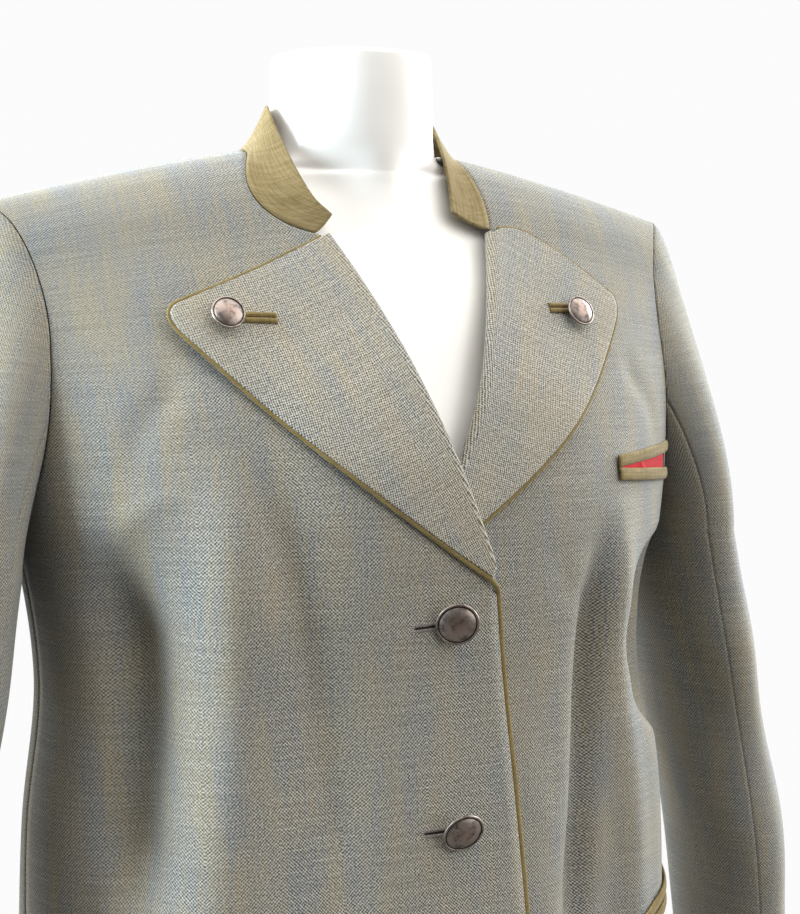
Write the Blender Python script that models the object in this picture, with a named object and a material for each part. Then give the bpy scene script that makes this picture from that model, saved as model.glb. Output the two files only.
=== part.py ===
"""Alpine jacket on a limbless dress form: every cut-and-sewn piece as a closed cloth wall, real size.

The wearer faces -Y, the wearer's left is +X and +Z is up. Tables and working sizes are in
millimetres; meshes are made in metres. "Forward" means towards -Y.
"""
import math

import bmesh
import bpy
import numpy as np

MM = 0.001

# Driving sizes
CLOTH = 2.0
SEAM = 0.3
HEM = 55.0
BREAK = 502.0
UNDERARM = 530.0
NECK_HALF = {"right": 76.0, "left": 66.5}
NAPE_POWER = 1.5
NAPE_DEPTH = 63.0
SHOULDER_HALF = 235.0
SLOPE_POWER = 1.4
LAPEL_TOP = {"right": (52.0, 700.2), "left": (70.5, 704.0)}
LAPEL_TIP = {"right": (157.0, 651.5), "left": (162.5, 660.5)}
TOP_BOW = {"right": 0.0, "left": 13.0}
TOP_BOW_POWER = 0.65
EDGE_DROP = 4.0
TIP_LIFT = 5.0
TIP_ROUND = 13.0
FORM_CLEAR = 1.1
BACK_NECK_SHARE = 1.0 / 3.0
POCKET_LIFT = 1.0
OVERLAP = 27.0
EDGE_SWING = 48.0
EDGE_RETURN = 10.0
PIPE_WIDE = 3.0
PIPE_THICK = 1.2
LIP_THICK = 1.2
FRONT_BUTTON = 13.0
LAPEL_BUTTON = 10.0
BUTTON_HEIGHTS = (477.0, 356.0, 237.5)
BUTTON_TURN = (22.0, 6.0, 12.0)
BUTTON_TILT = (15.0, 24.0, 18.0)
BUTTON_LEAN = 1.3
BUTTON_STAND = 1.6
LAPEL_BUTTON_AT = {"right": (121.0, 649.5), "left": (118.5, 651.0)}
BINDING_FROM = {"right": (91.5, 649.5), "left": (98.5, 655.5)}
BINDING_TO = {"right": (118.0, 649.5), "left": (114.3, 654.8)}
BINDING_THICK = 0.8
COLLAR_THICK = 2.2
INSET_THICK = 0.6
INSET_CLEAR = 0.45
POCKET_SLIT = 1.3
GAPE_POWER = 0.85
LIP_PUFF = 1.1
PIPE_GAP = SEAM + 0.1
NECK_BENDS = {"right": ((78.0, 704.0), (106.0, 724.0)), "left": ((74.5, 714.0), (71.5, 735.0))}
ROLL_TIGHT = 1.5
ROLL_GAIN = 1.4
ROLL_FADE = 18.0
TIP_REACH = 75.0
LAYER_FADE = (115.0, 30.0)
FOLD_FADE = (44.0, 80.0)
SLEEVE_AXIS = 272.0
SLEEVE_TRIM = 0.0009
CREASE_RISE = 2.5
CREASE_LENGTH = 24.0

# Bow of the lapel's outer edge and the power that moves it towards the tip
LAPEL_BOW = {"right": (8.8, 1.0), "left": (15.0, 1.45)}

# Bow of the lapel's fold: even along its length, and late, towards the collar
ROLL_BOW = {"right": (2.0, -3.6), "left": (10.5, 0.0)}
LATE_POWER = 2.2

# Half of a side or shoulder seam's gap, as an angle round the torso
HALF_SEAM = SEAM / 2 / 110.0

# Shares of a panel's length at the break and the underarm, and at the collar's end
BREAK_UP = 0.5
NECK_UP = 0.86

# Shares of the lapel's fold where its top starts to bow, its tip to round and its top edge to leave the fold
ROUND_FROM = 0.92
TOP_BOW_FROM = 0.88
LAPEL_HEAD = 0.985

# The jacket's outside: one row for each ring, from the hem to the line of the shoulder seam
# Columns: height, half width, depth to the front and to the back, power of each curve, drop
TORSO = np.array([
    (55.0, 218.0, 140.0, 122.0, 2.4, 2.3, 0.0),
    (150.0, 220.0, 137.0, 120.0, 2.4, 2.3, 0.0),
    (280.0, 219.0, 131.0, 102.0, 2.5, 2.3, 0.0),
    (355.0, 217.0, 128.0, 90.0, 2.5, 2.2, 0.0),
    (440.0, 208.0, 124.0, 94.0, 2.5, 2.2, 0.0),
    (500.0, 215.0, 124.0, 102.0, 2.4, 2.2, 0.0),
    (550.0, 227.0, 121.0, 107.0, 2.2, 2.2, 2.0),
    (605.0, 236.0, 107.0, 109.0, 2.1, 2.2, 8.0),
    (660.0, 248.0, 81.0, 102.0, 2.0, 2.2, 19.0),
    (703.0, 256.0, 58.0, 85.0, 2.0, 2.1, 30.0),
    (739.0, 258.0, 39.0, 58.0, 2.0, 2.0, 39.0),
    (751.0, 258.0, 28.5, 38.0, 2.0, 2.0, 42.5),
    (759.0, 258.0, 15.5, 19.0, 2.0, 2.0, 44.3),
    (762.0, 258.0, 0.0, 0.0, 2.0, 2.0, 45.0),
])

# Armhole: ring height, and the angles from the centre front and the centre back
ARMHOLE = np.array([
    (530.0, 90.0, 90.0),
    (546.0, 80.0, 78.0),
    (566.0, 72.0, 70.0),
    (606.0, 65.0, 62.0),
    (660.0, 59.0, 56.0),
    (703.0, 57.5, 56.0),
    (739.0, 60.5, 60.5),
    (762.0, 65.63, 65.63),
])

# How far the right front stands out, and the left front in, where they overlap
# Columns: height, offset
LAYER = np.array([
    (55.0, 1.6),
    (250.0, 1.6),
    (400.0, 1.6),
    (440.0, 1.6),
    (480.0, 2.0),
    (502.0, 2.7),
    (540.0, 3.6),
    (568.0, 4.2),
    (610.0, 2.6),
    (660.0, 0.8),
    (702.0, 0.0),
    (762.0, 0.0),
])

# Main folds of each panel, angles in degrees from its centre
# Columns: top height, angle there, low height, angle there, half angle, rise
FOLDS = {
    "right": (
        (545.0, 50.0, 40.0, 48.0, 9.0, 7.0),
        (520.0, 35.0, 40.0, 31.0, 9.0, -4.5),
        (540.0, 68.0, 60.0, 67.0, 9.0, -6.0),
        (480.0, 28.0, 300.0, 12.0, 6.0, -2.5),
    ),
    "left": (
        (530.0, 51.0, 40.0, 49.0, 9.0, 6.5),
        (525.0, 35.0, 120.0, 24.0, 8.0, -6.5),
        (540.0, 69.0, 60.0, 68.0, 9.0, -6.0),
        (455.0, 14.0, 280.0, 17.0, 5.0, -1.5),
    ),
    "back": (
        (560.0, 22.0, 40.0, 27.0, 10.0, -4.0),
        (470.0, 47.0, 40.0, 49.0, 10.0, 5.0),
        (600.0, -20.0, 40.0, -25.0, 10.0, -4.5),
        (480.0, -46.0, 40.0, -48.0, 10.0, 5.0),
    ),
}

# Sleeve rings below the cap: height, centre out, centre forward, half thickness, half depth
SLEEVE = np.array([
    (505.0, 254.0, -5.0, 31.0, 69.0),
    (425.0, 268.0, 5.0, 31.0, 63.0),
    (345.0, 281.0, 17.0, 31.0, 57.0),
    (265.0, 289.0, 26.0, 31.0, 53.0),
    (185.0, 293.0, 34.0, 31.0, 51.0),
    (120.0, 295.0, 39.0, 31.0, 50.0),
])
SLEEVE_SEAM = 0.31

# Collar's top edge from its right end (0) over the right shoulder, nape and left shoulder to its left end (4)
# Columns: station, place to the left, forward and up
COLLAR = np.array([
    (0.0, -42.0, 54.0, 712.5),
    (0.25, -52.0, 50.5, 722.0),
    (0.5, -57.5, 41.0, 737.0),
    (0.75, -60.0, 25.0, 756.0),
    (1.0, -59.0, 2.0, 778.5),
    (1.25, -52.0, -15.5, 779.5),
    (1.5, -43.0, -33.8, 776.0),
    (2.0, 0.0, -54.5, 767.0),
    (2.5, 42.0, -35.0, 776.0),
    (2.75, 52.5, -18.0, 778.0),
    (3.0, 58.0, 0.0, 776.5),
    (3.25, 54.5, 20.0, 758.0),
    (3.5, 50.5, 34.0, 742.0),
    (3.75, 46.5, 45.0, 727.0),
    (4.0, 43.5, 52.0, 716.0),
])
COLLAR_LEAN_POWER = 0.7

# How far the collar's foot is set in from the neck seam at its ends, how much more at the nape, and up
COLLAR_SET = (0.6, 1.2)
COLLAR_UP = 1.1

# Dress form: rings from its flat bottom to its flat-cut neck
# Columns: height, half width, depth to the front and to the back, fullness of the throat
FORM = np.array([
    (0.0, 176.0, 106.0, 98.0, 0.0),
    (8.0, 181.0, 110.0, 102.0, 0.0),
    (120.0, 184.0, 113.0, 106.0, 0.0),
    (230.0, 174.0, 108.0, 95.0, 0.0),
    (345.0, 150.0, 98.0, 76.0, 0.0),
    (440.0, 158.0, 105.0, 82.0, 0.0),
    (520.0, 176.0, 110.0, 94.0, 0.0),
    (570.0, 182.0, 103.0, 98.0, 0.0),
    (620.0, 184.0, 87.0, 96.0, 0.0),
    (665.0, 182.0, 70.0, 86.0, 1.0),
    (697.0, 177.0, 52.0, 70.0, 4.5),
    (716.0, 168.0, 41.0, 56.0, 9.5),
    (727.0, 150.0, 34.0, 46.0, 14.5),
    (737.0, 118.0, 30.0, 40.0, 17.5),
    (744.0, 72.0, 30.0, 40.0, 17.5),
    (751.0, 56.5, 37.0, 43.0, 11.0),
    (760.0, 52.5, 45.0, 47.5, 3.5),
    (775.0, 51.0, 49.0, 49.5, 0.0),
    (795.0, 49.5, 49.5, 49.5, 0.0),
    (811.0, 49.0, 49.0, 49.0, 0.0),
    (813.0, 47.5, 47.5, 47.5, 0.0),
])
THROAT_HALF = 30.0
FORM_POWER = 2.15

# Welt pockets: side, ends as angles from the centre, heights of the mouth there, lip widths, gape
BREAST_POCKET = ("left", 34.3, 61.0, 558.4, 559.5, 6.5, 7.0, 11.0)
HIP_POCKETS = {
    "left": ("left", 26.0, 70.0, 250.0, 296.0, 7.0, 7.0, 3.0),
    "right": ("right", 26.0, 70.0, 250.0, 296.0, 7.0, 7.0, 3.0),
}

# Section of a bound buttonhole's two lips: place across the slit, puff
BINDING_LIPS = ((-2.8, 0.0), (-1.5, 0.7), (0.0, 0.15), (1.5, 0.7), (2.8, 0.0))

# Section of a button above its shank: share of the radius, height over the cloth
BUTTON_DOME = (
    (0.62, 3.6), (0.95, 4.6), (1.0, 5.4), (0.97, 6.2), (0.84, 6.3), (0.74, 6.0), (0.5, 7.6), (0.22, 8.4),
    (0.0, 8.6),
)
SHANK = ((0.0, 0.4), (2.4, 0.4), (2.4, 3.2))

SIDES = {"right": -1.0, "left": 1.0}

# Seams whose rims stay upright: row of the grid, axis that the rim keeps clear of, reach
SHOULDER_SEAM = (-1, 1, 1.5)
ARMHOLE_SEAM = (0, 0, 999.0)

# Shares of the lapel's fold where its rows lie, closer at the rounded tip
LAPEL_ROWS = np.concatenate((np.linspace(0.05, ROUND_FROM, 11), (0.935, 0.955, 1.0)))

# Shares of a panel's length where its rows lie: hem to break, fold of the lapel, neck to shoulder
PANEL_ROWS = np.concatenate((
    np.linspace(0.0, BREAK_UP, 10),
    np.linspace(BREAK_UP, NECK_UP, 9)[1:],
    np.linspace(NECK_UP, 1.0, 7)[1:],
))


def spline(knots, values, at):
    """Smooth curve through a table's columns: cubic pieces with weighted slopes at the rows."""
    knots = np.asarray(knots, float)
    values = np.asarray(values, float)
    step = np.diff(knots)
    rate = np.diff(values, axis=0) / step.reshape((-1,) + (1,) * (values.ndim - 1))
    slope = np.empty_like(values)
    slope[0] = rate[0]
    slope[-1] = rate[-1]
    for k in range(1, len(knots) - 1):
        share = step[k - 1] / (step[k - 1] + step[k])
        slope[k] = rate[k - 1] * (1.0 - share) + rate[k] * share
    at = np.clip(np.asarray(at, float), knots[0], knots[-1])
    k = np.clip(np.searchsorted(knots, at, side="right") - 1, 0, len(knots) - 2)
    wide = step[k]
    t = (at - knots[k]) / wide
    if values.ndim > 1:
        t = t[..., None]
        wide = wide[..., None]
    return ((2 * t**3 - 3 * t**2 + 1) * values[k] + (t**3 - 2 * t**2 + t) * wide * slope[k]
            + (3 * t**2 - 2 * t**3) * values[k + 1] + (t**3 - t**2) * wide * slope[k + 1])


def ease(value, start, end):
    """Smooth step from 0 at start to 1 at end."""
    t = np.clip((np.asarray(value, float) - start) / (end - start), 0.0, 1.0)
    return t * t * (3.0 - 2.0 * t)


TORSO_RUN = np.concatenate(([0.0], np.cumsum(np.hypot(np.diff(TORSO[:, 0]), np.diff(TORSO[:, 2])))))
RUN_END = TORSO_RUN[-1]
RUN_SAMPLES = np.linspace(0.0, RUN_END, 900)
TORSO_SAMPLES = spline(TORSO_RUN, TORSO, RUN_SAMPLES)


def slope_share(x):
    """Share of the shoulder's drop at a distance out from the centre."""
    return (np.abs(x) / SHOULDER_HALF) ** SLOPE_POWER


def run_at(height):
    """Run along the torso's length for a ring's height at the centre."""
    return np.interp(height, TORSO_SAMPLES[:, 0], RUN_SAMPLES)


def torso(angle, run):
    """Point of the jacket's plain outside: angle from the centre front, run from the hem up."""
    angle, run = np.broadcast_arrays(np.asarray(angle, float), np.asarray(run, float))
    ring = spline(TORSO_RUN, TORSO, run)
    forward = np.cos(angle) >= 0.0
    depth = np.where(forward, ring[..., 2], ring[..., 3])
    power = 2.0 / np.where(forward, ring[..., 4], ring[..., 5])
    x = ring[..., 1] * np.sign(np.sin(angle)) * np.abs(np.sin(angle)) ** power
    y = -depth * np.sign(np.cos(angle)) * np.abs(np.cos(angle)) ** power
    z = ring[..., 0] - ring[..., 6] * slope_share(x)
    return np.stack([x, y, z], axis=-1)


def torso_normal(angle, run):
    """Outward direction of the plain outside."""
    across = torso(angle + 0.004, run) - torso(angle - 0.004, run)
    along = torso(angle, np.minimum(run + 0.5, RUN_END)) - torso(angle, np.maximum(run - 1.0, 0.0))
    normal = np.cross(across, along)
    normal = normal / np.linalg.norm(normal, axis=-1, keepdims=True)
    return normal


def fold_rise(name, degrees, height):
    """How far the main folds of a panel stand out or in at an angle and a ring height."""
    rise = np.zeros(np.broadcast(degrees, height).shape)
    for top, top_angle, low, low_angle, half_angle, amount in FOLDS[name]:
        share = np.clip((top - height) / (top - low), 0.0, 1.0)
        middle = top_angle + (low_angle - top_angle) * share
        fade = ease(share, 0.0, 0.45) * (1.0 - 0.6 * ease(share, 0.75, 1.0))
        rise = rise + amount * fade * np.exp(-((degrees - middle) / half_angle) ** 2)
    return rise


def front(name, angle, run, out=0.0):
    """Point of a front's outside with its overlap layer and folds, moved out by a distance."""
    ring = spline(TORSO_RUN, TORSO, run)
    point = torso(angle, run)
    layer = spline(LAYER[:, 0], LAYER[:, 1], ring[..., 0]) * ease(point[..., 0], *LAYER_FADE)
    folds = fold_rise(name, np.degrees(angle), ring[..., 0]) * ease(point[..., 0], *FOLD_FADE)
    move = layer * -SIDES[name] + folds + out
    point = point + torso_normal(angle, run) * move[..., None]
    point[..., 0] *= SIDES[name]
    return point


def back(angle, run, out=0.0):
    """Point of the back's outside with its folds; angle from the centre back to the left."""
    ring = spline(TORSO_RUN, TORSO, run)
    move = fold_rise("back", np.degrees(angle), ring[..., 0]) + out
    return torso(math.pi - angle, run) + torso_normal(math.pi - angle, run) * move[..., None]


def shoulder_height(x, forward):
    """Height of the jacket's plain outside over a place in plan, above the chest and blades."""
    top = TORSO_SAMPLES[len(RUN_SAMPLES) * 2 // 3:]
    deep = top[:, 2] if forward >= 0.0 else top[:, 3]
    reach = deep * np.sqrt(np.clip(1.0 - (abs(x) / top[:, 1]) ** 2, 0.0, 1.0))
    level = top[:, 0] - top[:, 6] * slope_share(x)
    return float(np.interp(-abs(forward), -reach, level))


def front_chart(x, height):
    """Angle and run of the front's outside at a place out from the centre and a true height."""
    level = TORSO_SAMPLES[:, 0] - TORSO_SAMPLES[:, 6] * slope_share(x)
    run = np.interp(height, level, RUN_SAMPLES)
    ring = spline(TORSO_RUN, TORSO, run)
    share = min(abs(x) / ring[1], 1.0)
    return math.copysign(math.asin(share ** (ring[4] / 2.0)), x), float(run)


def back_neck_chart(name, share):
    """Angle and run of the back neck seam on one side, from the nape (0) to the shoulder seam (1)."""
    turn = share * math.pi / 2.0
    x = NECK_HALF[name] * math.sin(turn) ** NAPE_POWER
    depth = NAPE_DEPTH * math.cos(turn)
    ring = TORSO_SAMPLES
    sine = np.clip(x / ring[:, 1], 0.0, 1.0) ** (ring[:, 5] / 2.0)
    reach = ring[:, 3] * np.sqrt(1.0 - sine**2) ** (2.0 / ring[:, 5])
    top = len(reach) // 2
    run = np.interp(-depth, -reach[top:], RUN_SAMPLES[top:])
    here = spline(TORSO_RUN, TORSO, run)
    return math.asin((x / here[1]) ** (here[5] / 2.0)), float(run)


def roll_bow(name, share):
    """How far the lapel's fold bows outward from a straight line."""
    even, late = ROLL_BOW[name]
    return even * math.sin(math.pi * share) + late * math.sin(math.pi * share**LATE_POWER)


def roll_line(name, share):
    """Place of the lapel's fold, from the break (0) to the collar's end (1), as x and height."""
    top = LAPEL_TOP[name]
    x = -OVERLAP + (top[0] + OVERLAP) * share + roll_bow(name, share)
    return np.array([x, BREAK + (top[1] - BREAK) * share])


def lapel_edge(name, share):
    """Place of the lapel's outer edge, from the break (0) to its rounded tip (1)."""
    low = np.array([-OVERLAP, BREAK - EDGE_DROP])
    tip = np.array(LAPEL_TIP[name])
    top = np.array(LAPEL_TOP[name])
    bow, power = LAPEL_BOW[name]
    along = tip - low
    aside = np.array([along[1], -along[0]]) / np.linalg.norm(along) * bow
    if share <= ROUND_FROM:
        return low + along * share + aside * math.sin(math.pi * share**power)
    start = low + along * ROUND_FROM + aside * math.sin(math.pi * ROUND_FROM**power)
    end = tip + (top - tip) / np.linalg.norm(top - tip) * TIP_ROUND
    t = (share - ROUND_FROM) / (1.0 - ROUND_FROM)
    return start * (1 - t) ** 2 + tip * 2 * t * (1 - t) + end * t * t


def lapel_place(name, share, across):
    """Place on the lapel's flat, across from the fold (0) to the edge (1); the top edge bows up."""
    fold = roll_line(name, min(share, LAPEL_HEAD))
    along = lapel_edge(name, share) - fold
    above = np.array([-along[1], along[0]]) / np.linalg.norm(along)
    bow = TOP_BOW[name] * float(ease(share, TOP_BOW_FROM, 1.0)) * math.sin(math.pi * across**TOP_BOW_POWER)
    return fold + along * across + above * bow


def roll_radius(share):
    """Radius of the lapel's roll: tight at the break, soft at the top."""
    return ROLL_TIGHT + ROLL_GAIN * float(ease(share, 0.0, 0.8))


def lapel_rise(name, x, height):
    """Height of the lapel's middle above the front's outside."""
    low = np.array([-OVERLAP, BREAK])
    along = np.array(LAPEL_TOP[name]) - low
    length = np.linalg.norm(along)
    along = along / length
    place = np.array([x, height]) - low
    share = float(np.clip(place @ along / length, 0.0, 1.0))
    away = max(0.0, float(place @ np.array([along[1], -along[0]])) - roll_bow(name, share) * along[1])
    flat = CLOTH / 2 + 0.8
    roll = 2.0 * roll_radius(share) - CLOTH / 2
    from_tip = np.linalg.norm(np.array([x, height]) - np.array(LAPEL_TIP[name]))
    near_tip = 1.0 - float(ease(from_tip, 0.0, TIP_REACH))
    return flat + (roll - flat) * math.exp(-away / ROLL_FADE) + TIP_LIFT * near_tip


def on_lapel(name, x, height, out=0.0):
    """Point on the lapel's middle surface, moved out by a distance."""
    angle, run = front_chart(x, height)
    return front(name, np.array(angle), np.array(run), lapel_rise(name, x, height) + out)


def coons(bottom, top, left, right, across, up):
    """Blend of four chart edges; each edge gives an (angle, run) pair for a share of its length."""
    corner = (1 - across) * (1 - up) * bottom(0.0) + across * (1 - up) * bottom(1.0)
    corner = corner + (1 - across) * up * top(0.0) + across * up * top(1.0)
    return ((1 - up) * bottom(across) + up * top(across) + (1 - across) * left(up)
            + across * right(up) - corner)


def outer_chart(up, column):
    """Side seam (lower half) and armhole (upper half) of a front (column 1) or back (column 2)."""
    if up <= BREAK_UP:
        low = run_at(HEM)
        run = low + (run_at(UNDERARM) - low) * up / BREAK_UP
        return np.array([math.pi / 2 - HALF_SEAM, run])
    reach = (up - BREAK_UP) / (1.0 - BREAK_UP) * (len(ARMHOLE) - 1)
    row = spline(np.arange(len(ARMHOLE)), ARMHOLE, np.array(reach))
    run = min(float(run_at(row[0])), RUN_END - SEAM / 2)
    return np.array([math.radians(row[column]) - HALF_SEAM, run])


def front_edge_x(name, height):
    """How far the front's edge reaches past the centre at a height."""
    share = (BREAK - height) / (BREAK - HEM)
    swing = EDGE_SWING * share - EDGE_RETURN * share**2 if name == "right" else 0.0
    return -OVERLAP - swing


def front_inner_chart(name, up):
    """Front edge, then the lapel's fold, then the neck seam, from the hem to the shoulder seam."""
    if up <= BREAK_UP:
        height = HEM + (BREAK - HEM) * up / BREAK_UP
        return np.array(front_chart(front_edge_x(name, height), height))
    if up <= NECK_UP:
        return np.array(front_chart(*roll_line(name, (up - BREAK_UP) / (NECK_UP - BREAK_UP))))
    t = (up - NECK_UP) / (1.0 - NECK_UP)
    top = np.array(LAPEL_TOP[name])
    low_bend, high_bend = np.array(NECK_BENDS[name])
    end = np.array([NECK_HALF[name], TORSO[-1, 0] - TORSO[-1, 6] * slope_share(NECK_HALF[name])])
    low_part = top * (1 - t) ** 3 + low_bend * 3 * t * (1 - t) ** 2
    angle, run = front_chart(*(low_part + high_bend * 3 * t * t * (1 - t) + end * t**3))
    return np.array([angle, min(run, RUN_END - SEAM / 2)])


def shoulder_chart(name, share):
    """Shoulder seam of one side from the neck to the armhole."""
    inner = math.asin(NECK_HALF[name] / TORSO[-1, 1])
    outer = math.radians(ARMHOLE[-1, 1]) - HALF_SEAM
    return np.array([inner + (outer - inner) * share, RUN_END - SEAM / 2])


def hem_chart(start, share):
    """Hem from a start angle to the side seam."""
    return np.array([start + (math.pi / 2 - HALF_SEAM - start) * share, run_at(HEM)])


def front_grid(name, columns):
    """Grid of a front's outside points, hem to shoulder by centre to side."""
    start = front_inner_chart(name, 0.0)[0]
    grid = np.zeros((len(PANEL_ROWS), columns + 1, 2))
    for i, up in enumerate(PANEL_ROWS):
        for j in range(columns + 1):
            grid[i, j] = coons(lambda u: hem_chart(start, u), lambda u: shoulder_chart(name, u),
                               lambda v: front_inner_chart(name, v), lambda v: outer_chart(v, 1),
                               j / columns, up)
    return front(name, grid[..., 0], grid[..., 1])


def back_top_chart(name, share):
    """Back neck seam, then the shoulder seam of one side, from the nape to the armhole."""
    if share < BACK_NECK_SHARE:
        angle, run = back_neck_chart(name, share / BACK_NECK_SHARE)
        return np.array([angle, min(run, RUN_END - SEAM / 2)])
    return shoulder_chart(name, (share - BACK_NECK_SHARE) / (1.0 - BACK_NECK_SHARE))


def back_grid(columns):
    """Grid of the back's outside points, hem to shoulder by right side to left side."""
    low, high = run_at(HEM), back_neck_chart("left", 0.0)[1]
    grid = np.zeros((len(PANEL_ROWS), 2 * columns + 1, 2))
    for name, side in SIDES.items():
        for i, up in enumerate(PANEL_ROWS):
            for j in range(columns + 1):
                chart = coons(lambda u: hem_chart(0.0, u), lambda u: back_top_chart(name, u),
                              lambda v: np.array([0.0, low + (high - low) * v]),
                              lambda v: outer_chart(v, 2), j / columns, up)
                grid[i, columns + int(side) * j] = chart * np.array([side, 1.0])
    return back(grid[..., 0], grid[..., 1])


def grid_normals(grid, axis):
    """Unit normals of a point grid, turned away from an upright axis given as x and y."""
    normal = np.cross(np.gradient(grid, axis=0), np.gradient(grid, axis=1))
    normal = normal / np.maximum(np.linalg.norm(normal, axis=-1, keepdims=True), 1e-9)
    away = grid[..., :2] - np.asarray(axis, float)
    return normal if np.sum(normal[..., :2] * away) >= 0.0 else -normal


def add_mesh(name, points, faces, material):
    """One closed body from points in millimetres."""
    mesh = bpy.data.meshes.new(name)
    mesh.from_pydata([tuple(float(v) * MM for v in p) for p in points], [], faces)
    body = bmesh.new()
    body.from_mesh(mesh)
    bmesh.ops.recalc_face_normals(body, faces=body.faces)
    body.to_mesh(mesh)
    body.free()
    mesh.materials.append(material)
    thing = bpy.data.objects.new(name, mesh)
    bpy.context.scene.collection.objects.link(thing)
    return thing


def cloth_wall(name, grid, outside, inside, material, axis=(0.0, 0.0), spare=0, square=None):
    """Closed wall on a point grid, between two distances along its normals.

    Spare columns at each side only steer the normals, so that pieces meet squarely at a seam.
    A squared row keeps its rim upright in the plane of a seam: (row, axis, reach from the centre).
    """
    normal = grid_normals(grid, axis)
    if spare:
        grid = grid[:, spare:-spare]
        normal = normal[:, spare:-spare]
    if square:
        row, part, reach = square
        on_seam = (np.abs(grid[row, :, 1]) < reach) & (np.abs(normal[row, :, part]) < 0.8)
        normal[row, on_seam, part] = 0.0
        normal = normal / np.linalg.norm(normal, axis=-1, keepdims=True)
    rows, columns = grid.shape[:2]
    layers = (grid + normal * outside, grid + normal * inside)
    points = np.concatenate([layer.reshape(-1, 3) for layer in layers])
    under = rows * columns
    faces = []
    for i in range(rows - 1):
        for j in range(columns - 1):
            a, b = i * columns + j, (i + 1) * columns + j
            faces.append((a, a + 1, b + 1, b))
            faces.append((under + a, under + b, under + b + 1, under + a + 1))
    rim = [j for j in range(columns)]
    rim += [i * columns + columns - 1 for i in range(1, rows)]
    rim += [(rows - 1) * columns + j for j in range(columns - 2, -1, -1)]
    rim += [i * columns for i in range(rows - 2, 0, -1)]
    for a, b in zip(rim, rim[1:] + rim[:1]):
        faces.append((a, b, under + b, under + a))
    return add_mesh(name, points, faces, material)


def material(name, colour, roughness, metallic=0.0):
    """Plain Principled material from sRGB parts of 255."""
    made = bpy.data.materials.new(name)
    made.use_nodes = True
    shader = made.node_tree.nodes["Principled BSDF"]
    linear = [(c / 255.0) ** 2.2 for c in colour]
    shader.inputs["Base Color"].default_value = (*linear, 1.0)
    shader.inputs["Roughness"].default_value = roughness
    shader.inputs["Metallic"].default_value = metallic
    return made


def dress_form(made):
    """The limbless torso: rings from the flat bottom to the flat-cut neck, closed at both ends."""
    segments = 28
    points = []
    for height, half_width, deep_front, deep_back, throat in FORM:
        for k in range(segments):
            turn = 2 * math.pi * k / segments
            s, c = math.sin(turn), math.cos(turn)
            deep = deep_front if c >= 0 else deep_back
            x = half_width * math.copysign(abs(s) ** (2 / FORM_POWER), s)
            y = -deep * math.copysign(abs(c) ** (2 / FORM_POWER), c)
            if c > 0.0:
                y -= throat * math.exp(-((x / THROAT_HALF) ** 2))
            under = height
            if 690.0 < height < 750.0 and abs(x) > 62.0:
                under = min(height, shoulder_height(x, -y) - CLOTH - FORM_CLEAR)
            points.append((x, y, under))
    faces = []
    for i in range(len(FORM) - 1):
        for k in range(segments):
            a, b = i * segments + k, i * segments + (k + 1) % segments
            faces.append((a, b, b + segments, a + segments))
    faces.append(tuple(range(segments - 1, -1, -1)))
    last = (len(FORM) - 1) * segments
    faces.append(tuple(range(last, last + segments)))
    return add_mesh("dress_form", points, faces, made)


def lapel_grid(name, roll_steps, flat_steps):
    """Middle surface of a lapel: round the roll, then flat to its outer edge."""
    grid = []
    for share in LAPEL_ROWS:
        fold = roll_line(name, min(share, LAPEL_HEAD))
        toward = lapel_edge(name, share) - fold
        toward = toward / np.linalg.norm(toward)
        radius = roll_radius(share)
        line = []
        for k in range(roll_steps + 1):
            turn = math.pi * k / roll_steps
            place = fold - toward * (SEAM + 0.5 + radius * math.sin(turn))
            angle, run = front_chart(*place)
            rise = -CLOTH / 2 + radius * (1.0 - math.cos(turn))
            line.append(front(name, np.array(angle), np.array(run), rise))
        for k in range(1, flat_steps + 1):
            line.append(on_lapel(name, *lapel_place(name, share, k / flat_steps)))
        grid.append(line)
    return np.array(grid)


def lapel_outline(name, count):
    """Places round the lapel's free edge with their outward directions: tip edge, then top edge.

    The right lapel's edge runs on to the break; the left one's low end lies under the right front.
    """
    shares = (0.0, *LAPEL_ROWS) if name == "right" else LAPEL_ROWS
    places = [lapel_edge(name, share) for share in shares]
    places += [lapel_place(name, 1.0, 1.0 - k / count) for k in range(1, count)]
    places = np.array(places)
    along = np.diff(places, axis=0)
    along = along / np.linalg.norm(along, axis=-1, keepdims=True)
    along = np.concatenate((along[:1], along[:-1] + along[1:], along[-1:]))
    aside = np.stack([along[:, 1], -along[:, 0]], axis=-1)
    return places, aside / np.linalg.norm(aside, axis=-1, keepdims=True)


def lapel_piping_grid(name, count):
    """Two lines of points just outside the lapel's edge."""
    places, aside = lapel_outline(name, count)
    reach = (PIPE_GAP, PIPE_GAP + PIPE_WIDE)
    return np.array([[on_lapel(name, *(p + a * r)) for r in reach] for p, a in zip(places, aside)])


def front_piping_grid(name, steps):
    """Two lines of points just outside the front's edge, from the hem to the break."""
    grid = []
    for k in range(steps + 1):
        height = HEM + 1.0 + (BREAK - 2.0 - HEM - 1.0) * k / steps
        line = []
        for reach in (PIPE_GAP, PIPE_GAP + PIPE_WIDE):
            angle, run = front_chart(front_edge_x(name, height) - reach, height)
            line.append(front(name, np.array(angle), np.array(run), -CLOTH / 2))
        grid.append(line)
    return np.array(grid)


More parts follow.
